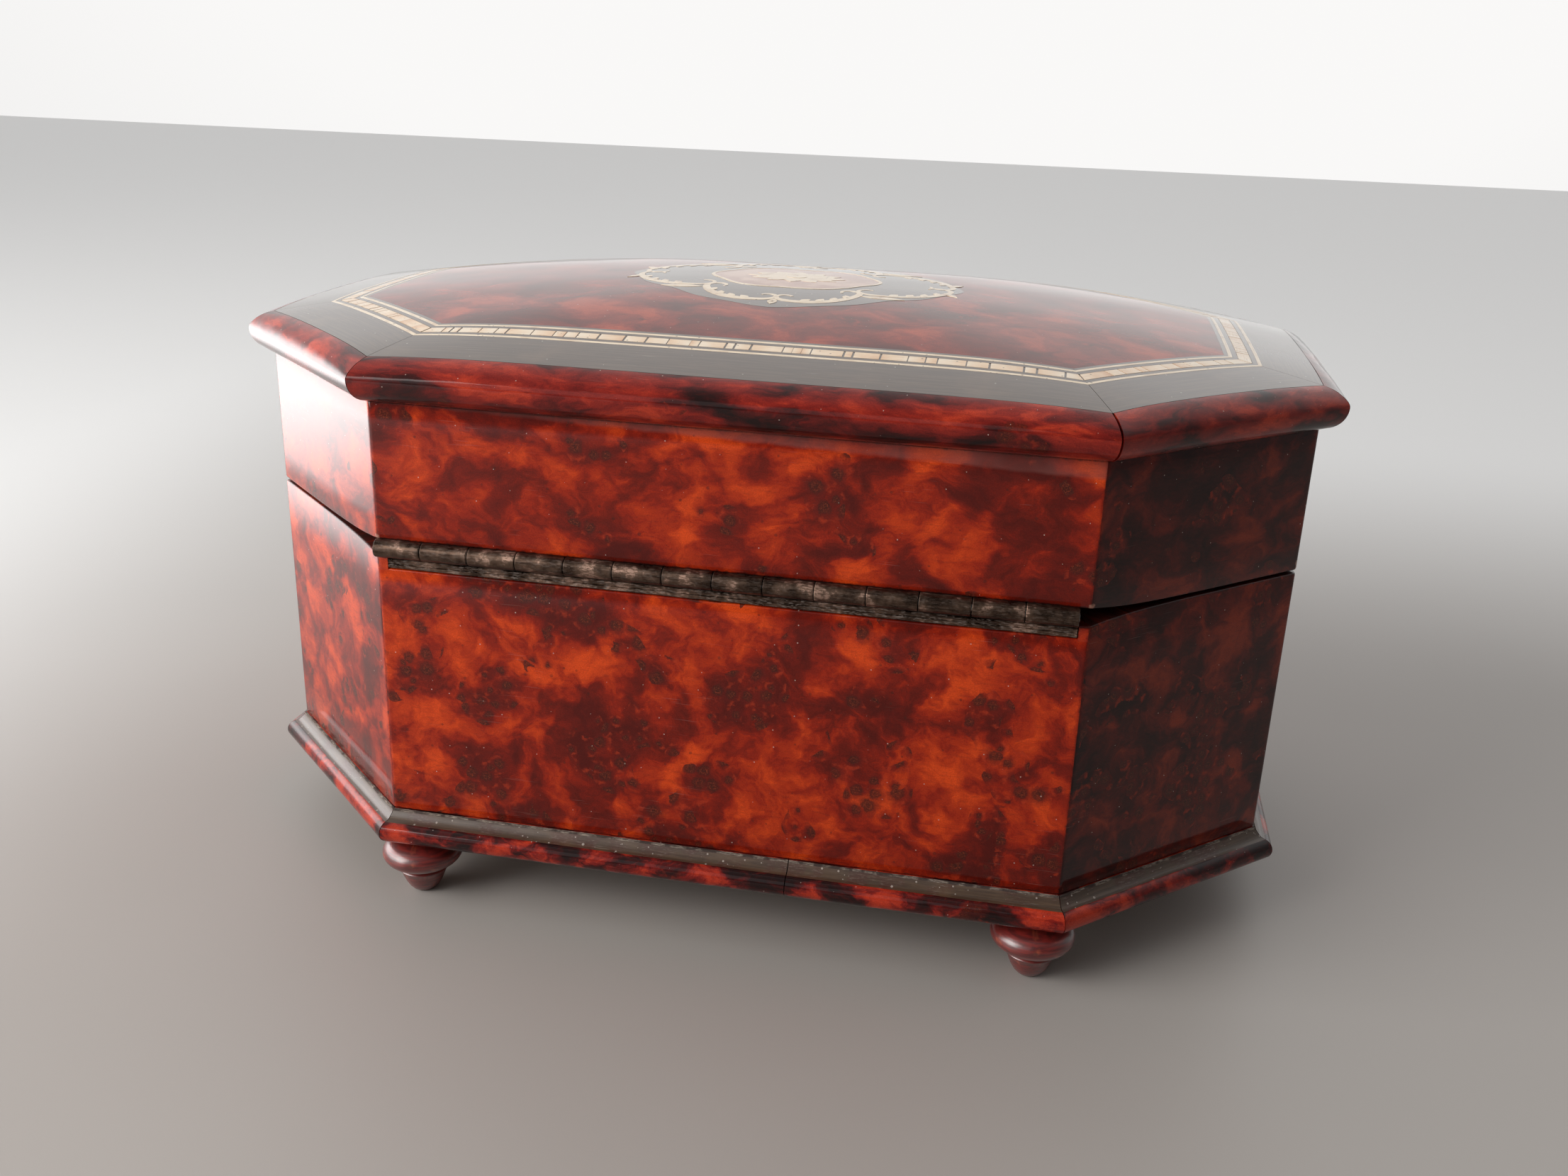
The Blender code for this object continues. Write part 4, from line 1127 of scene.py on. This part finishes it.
def make_cartouche():
    """The inlaid middle: dark ground, pale scrolls, a stained reserve and a rosette."""
    ground = Shape()
    add_patch(ground, ground_outline(), 0.00004, rings=14)
    finish_piece(ground.build("cartouche_ground", [ebony("ebonised_cartouche")], 50), "lid",
                 ["cartouche"])
    scrolls = Shape()
    for sx in (-1, 1):
        for sy in (-1, 1):
            add_scroll_quarter(scrolls, sx, sy)
    pale = maple("maple_scrolls", 0.2)
    finish_piece(scrolls.build("cartouche_scrolls", [pale], 50), "lid")
    reserve, edging = Shape(), Shape()
    outline = lobed_outline(0.0232, 0.0178, 6, 0.035)
    add_patch(reserve, outline, 0.00008)
    add_ribbon(edging, [*outline, outline[0]], [0.0010] * (len(outline) + 1), 0.00012)
    finish_piece(reserve.build("cartouche_reserve", [stained_reserve()], 50), "lid")
    finish_piece(edging.build("cartouche_edging", [pale], 50), "lid")
    rosette = Shape()
    for petal in range(12):
        angle = 2 * math.pi * petal / 12
        tip = Vector((0.0140 * math.cos(angle), 0.0092 * math.sin(angle)))
        add_patch(rosette, leaf(tip * 0.15, tip, 0.0050), 0.00014, rings=3)
    add_patch(rosette, lobed_outline(0.0030, 0.0024, 1, 0.0, 24), 0.00020, rings=2)
    finish_piece(rosette.build("cartouche_rosette", [maple("maple_rosette", 0.1)], 50), "lid")


def ground_outline(count=200):
    """The dark ground: one wide lobe to each long side, one to each end and waists between them."""
    outline = []
    for s in range(count):
        angle = 2 * math.pi * s / count
        swell = 1 + 0.030 * math.cos(4 * angle) + 0.012 * math.cos(12 * angle)
        swell -= 0.035 * abs(math.sin(2 * angle))
        outline.append(Vector((0.0455 * swell * math.cos(angle), 0.0385 * swell * math.sin(angle))))
    return outline


def add_scroll_quarter(shape, sx, sy):
    """The long-side and end C-scrolls with barbed inner edges, mirrored into one quarter."""
    def flip(p):
        return Vector((p.x * sx, p.y * sy))

    long_side = c_scroll(Vector((0.0030, 0.0325)), Vector((0.0210, 0.0210)), -95, -230)
    end_side = c_scroll(Vector((0.0245, 0.0195)), Vector((0.0440, 0.0050)), -80, -200)
    for line, thin, thick in ((long_side, 0.0007, 0.0025), (end_side, 0.0007, 0.0021)):
        add_ribbon(shape, [flip(p) for p in line], swelling(len(line), thin, thick), 0.00010)
        for share in (0.34, 0.44, 0.54, 0.64):
            i = round(share * len(line))
            forward = (line[i + 1] - line[i - 1]).normalized()
            inward = Vector((forward.y, -forward.x))
            tip = line[i] + inward * 0.0028 + forward * 0.0016
            barb = leaf(line[i] - forward * 0.0012, tip, 0.0022)
            add_patch(shape, [flip(p) for p in barb], 0.00012, rings=3)
    sprigs = (
        ((0.0215, 0.0225), (0.0335, 0.0225), 0.0030),
        ((0.0, 0.0318), (0.0, 0.0372), 0.0026),
        ((0.0425, 0.0060), (0.0465, 0.0110), 0.0022),
    )
    for base, tip, width in sprigs:
        outline = leaf(Vector(base), Vector(tip), width)
        add_patch(shape, [flip(p) for p in outline], 0.00012, rings=3)


def stained_reserve():
    """Pink-stained maple behind the rosette."""
    g = Graph("stained_reserve", Roughness=0.4, Coat_Weight=0.9, Coat_Roughness=0.10)
    plane = top_plane(g)
    grain = g.fibre(plane, 0.0, 60, 1100)
    ripple = g.noise(plane, 90.0, 3.0)
    colour = g.mix(g.band(ripple, 0.4, 0.65), rgb(0.40, 0.19, 0.13), rgb(0.60, 0.36, 0.25))
    colour = g.mix(g.band(grain, 0.4, 0.7, 0.0, 0.4), colour, rgb(0.26, 0.10, 0.07))
    g.bump(g.times(grain, 0.00001))
    return g.finish(colour)


# ---- hinge -------------------------------------------------------------------------------------
def dress_hinge():
    """Metal for the leaves and the pin, fourteen rolled sleeves and the lower leaf's lip."""
    leaf_metal = bronze("tarnished_leaf", 0.5)
    for name in ("hinge_lower_leaf", "hinge_upper_leaf"):
        paint(NODES[name], leaf_metal)
    paint(NODES["hinge_pin"], steel())
    barrel = bronze("tarnished_knuckle", 0.18)
    pitch = (HINGE_HIGH.x - HINGE_LOW.x) / KNUCKLES
    for first, body, name in ((0, "box", "knuckles_lower"), (1, "lid", "knuckles_upper")):
        shape = Shape()
        for n in range(first, KNUCKLES, 2):
            start = HINGE_LOW.x + n * pitch
            add_knuckle(shape, start + 0.00012, start + pitch - 0.00012, n)
        finish_piece(shape.build(name, [barrel], 30), body)
    make_flange(bronze("dusty_flange", 0.65))


def make_flange(metal):
    """The lower leaf's turned-down lip: a rib under the barrel, a dirty groove and a flat."""
    low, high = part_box("hinge_lower_leaf")
    section = [(-0.0006, -0.0051), (0.0001, -0.0051), (0.00035, -0.0049), (0.00035, -0.0042), (0.0, -0.0040),
               (0.0, -0.0036), (0.00055, -0.0033), (0.00065, -0.0030), (0.0004, -0.0027), (-0.0006, -0.0026)]
    profile = [(offset, SEAM + rise) for offset, rise in section]
    ends = (-high.x + 0.0001, -low.x - 0.0001)
    shape = Shape()
    add_length(shape, BACK, profile, steps=150, ends=ends, wave=worn(0.00008, 41.0))
    finish_piece(shape.build("flange_lip", [metal], 40), "box")


def add_knuckle(shape, x0, x1, n):
    """A rolled sleeve: eased ends, a split along it and a little crush of its own."""
    ease = 0.00022
    radius = 0.00236
    end = [(0.0, radius - 0.0007), (0.0, radius - ease), (ease * 0.5, radius - ease * 0.3), (ease, radius)]
    rings = [(x0 + inset, r) for inset, r in end]
    rings += [(x0 + ease + (x1 - x0 - 2 * ease) * s / 8, radius) for s in range(1, 8)]
    rings += [(x1 - inset, r) for inset, r in reversed(end)]
    steps = 60
    points = []
    split = math.radians(RANDOM.choice((-62, -58, -66)))
    for x, r in rings:
        for s in range(steps):
            angle = 2 * math.pi * s / steps
            gap = min(abs(math.remainder(angle - split, 2 * math.pi)) / 0.09, 1.0)
            crush = 0.00003 * noise.noise(Vector((x * 300, angle, n * 3.1)))
            actual = r + crush - 0.00010 * (1 - gap)
            points.append((x, HINGE_Y + actual * math.cos(angle), SEAM + actual * math.sin(angle)))
    shape.add(points, tube_faces(len(rings), steps))


def add_screw(shape, centre, normal, radius=0.0012):
    """A countersunk screw head with a slot, flush with a leaf."""
    up = Vector(normal)
    side = Vector((1, 0, 0))
    other = up.cross(side)
    turn = RANDOM.uniform(0, math.pi)
    steps = 24
    angles = [2 * math.pi * s / steps + turn for s in range(steps)]
    outline = [Vector((math.cos(angle), math.sin(angle))) for angle in angles]
    slot_half = 0.16
    levels = [(1.0, -0.0004), (1.0, 0.00002), (0.82, 0.00012), (0.5, 0.00017), (0.08, 0.00018)]
    points = []
    for share, rise in levels:
        for p in outline:
            off_slot = abs(math.cos(turn) * p.y - math.sin(turn) * p.x) * share
            dip = 0.00030 if off_slot < slot_half and rise > 0 else 0.0
            points.append(Vector(centre) + (side * p.x + other * p.y) * radius * share + up * (rise - dip))
    shape.add(points, tube_faces(len(levels), steps))


def make_screws():
    """Screws through both hinge leaves and the lock's and keeper's rim plates."""
    metal = brass("screw_brass", 0.5)
    leaf_low, leaf_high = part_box("hinge_lower_leaf")
    on_box, on_lid = Shape(), Shape()
    leaf_y = HINGE_Y - 0.0041
    first, last = leaf_low.x + 0.0120, leaf_high.x - 0.0120
    for n in range(SCREWS):
        x = first + n * (last - first) / (SCREWS - 1)
        add_screw(on_box, (x, leaf_y, SEAM - 0.0010), (0, 0, 1), 0.0011)
        add_screw(on_lid, (x, leaf_y, SEAM + 0.0010), (0, 0, -1), 0.0011)
    lock_low, lock_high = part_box("lock_case")
    keeper_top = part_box("lock_keeper")[1].z
    lock_y = (lock_low.y + lock_high.y) / 2
    for sign in (-1, 1):
        x = sign * (lock_high.x - 0.0024)
        add_screw(on_box, (x, lock_y, lock_high.z), (0, 0, 1))
        add_screw(on_lid, (x, lock_y, keeper_top - 0.0012), (0, 0, -1))
    finish_piece(on_box.build("screws_lower", [metal], 30), "box")
    finish_piece(on_lid.build("screws_upper", [metal], 30), "lid")


# ---- linings -----------------------------------------------------------------------------------
def make_pad(name, node, body, material, crown, facing):
    """A quilted pad: crowned, with puffed diamonds between its sewn lines and a rolled edge."""
    low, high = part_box(node)
    shape = Shape()
    inset = HALF_LENGTH - high.x
    rings = 46
    loop = octagon_loop(inset + 0.0002, 26)
    back = low.z if facing > 0 else high.z
    edge_height = (high.z - low.z) * 0.45
    diamond_length = 0.0245
    diamond_width = diamond_length * 0.8

    def surface(x, y, share):
        rolled = 1 - share ** 10
        u = (x / diamond_length + y / diamond_width) / 2
        v = (x / diamond_length - y / diamond_width) / 2
        puff = (abs(math.sin(math.pi * u)) * abs(math.sin(math.pi * v))) ** 0.42
        return edge_height + rolled * (crown * (0.35 + 0.65 * puff))

    points = [(p.x, p.y, back) for p in loop]
    points += [(p.x, p.y, back + facing * edge_height * 0.55) for p in loop]
    for r in range(rings):
        share = 1 - r / rings
        inner = 1 - (1 - share) * 0.999
        points += [
            (p.x * inner, p.y * inner, back + facing * surface(p.x * inner, p.y * inner, inner))
            for p in loop
        ]
    points.append((0, 0, back + facing * surface(0, 0, 0)))
    shape.add(points, domed_faces(rings + 2, len(loop)))
    obj = shape.build(name, [material], 180)
    finish_piece(obj, body, [node])


def make_piping(name, inset, z, body, material):
    """A twisted cord sewn along the lining's edge."""
    shape = Shape()
    radius, strands = 0.0009, 3
    loop = []
    for k in range(8):
        start, end = corner(k - 1, -inset), corner(k, -inset)
        steps = max(2, int((end - start).length / 0.0006))
        loop += [start.lerp(end, s / steps) for s in range(steps)]
    count, sides = len(loop), 10
    points = []
    for i, p in enumerate(loop):
        tangent = (loop[(i + 1) % count] - loop[i - 1]).normalized()
        outward = Vector((tangent.y, -tangent.x, 0))
        twist = i * 2 * math.pi / 9
        for s in range(sides):
            angle = 2 * math.pi * s / sides
            swell = radius * (0.80 + 0.20 * abs(math.cos(strands / 2 * (angle - twist / strands))))
            out = outward * swell * math.cos(angle)
            points.append(Vector((p.x, p.y, z + swell * math.sin(angle))) + out)
    faces = []
    for i in range(count):
        here, beyond = i * sides, (i + 1) % count * sides
        for s in range(sides):
            t = (s + 1) % sides
            faces.append((here + s, here + t, beyond + t, beyond + s))
    shape.add(points, faces)
    finish_piece(shape.build(name, [material], 60), body)


def make_interior():
    """Satin linings, two quilted pads and piping along each lining's rim."""
    crimson = satin("crimson_satin", rgb(0.30, 0.018, 0.022), rgb(0.15, 0.008, 0.012))
    gold = satin("gold_cord", rgb(0.46, 0.27, 0.10), rgb(0.26, 0.13, 0.045))
    for node in ("body_lining", "lid_lining"):
        paint(NODES[node], crimson)
    make_pad("floor_cushion", "floor_pad", "box", crimson, 0.0040, 1)
    make_pad("lid_cushion", "lid_pad", "lid", crimson, 0.0040, -1)
    _, lining_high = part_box("body_lining")
    lid_low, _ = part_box("lid_lining")
    inset = HALF_LENGTH - lining_high.x + 0.0006
    make_piping("body_piping", inset, lining_high.z, "box", gold)
    make_piping("lid_piping", inset, lid_low.z, "lid", gold)


def dress_the_rest():
    """Wood and metal for the parts that keep the frame's own shape."""
    wood = bare_wood()
    for node in ("base_board", "lid_panel"):
        paint(NODES[node], wood)
    for node in ("lock_case", "lock_keeper"):
        paint(NODES[node], brass("lock_brass", 0.6))
    paint(NODES["escutcheon"], brass("escutcheon_brass", 0.35))
    ease_edges(NODES["escutcheon"], 0.00018)
    paint(NODES["lock_bolt"], steel())


# ---- stage, light and camera -------------------------------------------------------------------
def make_floor():
    """A pale floor, paler beyond the box, paler towards +X as a painted pool of window light, and darker
    round the box as painted shade.
    """
    bpy.ops.mesh.primitive_plane_add(size=6.0, location=(0, 0, 0))
    floor = bpy.context.object
    floor.name = "floor"
    g = Graph("pale_floor", Roughness=0.45)
    place = g.place()
    x, y, _ = g.split(place)
    # Painted light and shade: the floor is paler away from the box and towards the window at +X, and darker
    # round the box.
    beyond = g.highest(g.band(y, -0.55, -0.10, 1.0, 0.0), g.band(x, 0.15, 0.50))
    tone = g.noise(place, 3.0, 3.0)
    near = g.mix(g.band(tone, 0.3, 0.7), rgb(0.37, 0.343, 0.322), rgb(0.40, 0.372, 0.35))
    g.finish(g.mix(beyond, near, rgb(0.86, 0.86, 0.86)))
    floor.data.materials.append(g.material)
    return floor


def make_world():
    """A pale room: bright beyond the box and overhead, dim behind the camera."""
    brightness = ((0.0, 0.08), (0.40, 0.13), (0.60, 0.34), (0.78, 0.80), (0.92, 0.95))
    world = bpy.data.worlds.new("room")
    bpy.context.scene.world = world
    world.use_nodes = True
    world.node_tree.nodes.clear()
    n = Nodes(world.node_tree)
    beyond = n.dot(n.add("TexCoord", {}).outputs["Generated"], (0.10, -0.90, 0.42))
    share = n.add("MapRange", {0: beyond, 1: -1.0}).outputs[0]
    tones = n.ramp(share, [(stop, (tone, tone * 0.99, tone * 0.98)) for stop, tone in brightness])
    n.add("OutputWorld", {0: n.add("Background", {0: tones}).outputs[0]})


def add_softbox(name, place, aim, size, radiance, colour=(1, 1, 1)):
    """A soft rectangular light of an even radiance, unseen by the camera."""
    light = bpy.data.lights.new(name, "AREA")
    light.shape = "RECTANGLE"
    light.size, light.size_y = size
    light.energy = radiance * math.pi * size[0] * size[1]
    light.color = colour
    obj = bpy.data.objects.new(name, light)
    obj.location = place
    obj.rotation_euler = (Vector(aim) - Vector(place)).to_track_quat("-Z", "Y").to_euler()
    obj.visible_camera = False
    bpy.context.scene.collection.objects.link(obj)
    return obj


def soften(light):
    """Fades a rectangular light from its middle to its edges."""
    light.use_nodes = True
    n = Nodes(light.node_tree)
    across = n.split(n.add("NewGeometry", {}).outputs["Parametric"])
    fades = [n.band(n.math("ABSOLUTE", n.minus(across[axis], 0.5)), 0.14, 0.50, 1.0, 0.0) for axis in (0, 1)]
    n.put(n.tree.nodes["Emission"].inputs["Strength"], n.times(*fades))


def make_lights(floor):
    """A window to the left, a card that the left chamfer mirrors, and two fills."""
    daylight = (1.0, 0.985, 0.96)
    add_softbox("window", (1.12, 0.76, 0.68), (0.0, 0.05, 0.08), (1.25, 1.0), 4.6, daylight)
    card = add_softbox("low_card", (0.335, 0.030, 0.122), (0.12, 0.045, 0.122), (0.36, 0.22), 5.0)
    card.visible_diffuse = False
    soften(card.data)
    shaded = bpy.data.collections.new("unlit_by_card")
    shaded.objects.link(floor)
    card.light_linking.receiver_collection = shaded
    shaded.collection_objects[0].light_linking.link_state = "EXCLUDE"
    add_softbox("side_card", (0.60, 0.50, 0.40), (0.03, 0.09, 0.07), (0.35, 0.35), 5.0, daylight)
    add_softbox("front_fill", (0.60, 1.40, 0.85), (0.0, 0.0, 0.07), (1.4, 0.9), 0.6)


def make_camera():
    """The view of the hinge side, from above and a little towards -X."""
    distance = 0.4451
    target = Vector((0.0004, 0.0, 0.0663))
    azimuth, elevation, roll = math.radians(190.42), math.radians(20.26), math.radians(2.07)
    back = Vector((
        math.sin(azimuth) * math.cos(elevation),
        -math.cos(azimuth) * math.cos(elevation),
        math.sin(elevation),
    ))
    sideways = (-back).cross(Vector((0, 0, 1))).normalized()
    upright = sideways.cross(-back)
    right = sideways * math.cos(roll) + upright * math.sin(roll)
    up = upright * math.cos(roll) - sideways * math.sin(roll)
    camera = bpy.data.cameras.new("camera")
    camera.lens = 33.386
    camera.sensor_width = 36.0
    camera.clip_start = 0.01
    obj = bpy.data.objects.new("camera", camera)
    turn = Matrix((right, up, back)).transposed().to_4x4()
    obj.matrix_world = Matrix.Translation(target + back * distance) @ turn
    bpy.context.scene.collection.objects.link(obj)
    bpy.context.scene.camera = obj


make_boards()
make_lid_mouldings()
make_base_mouldings()
make_feet()
make_banding()
make_field()
make_cartouche()
dress_hinge()
make_screws()
make_interior()
dress_the_rest()
floor = make_floor()
make_world()
make_lights(floor)
make_camera()
bpy.context.scene.view_settings.view_transform = "Standard"
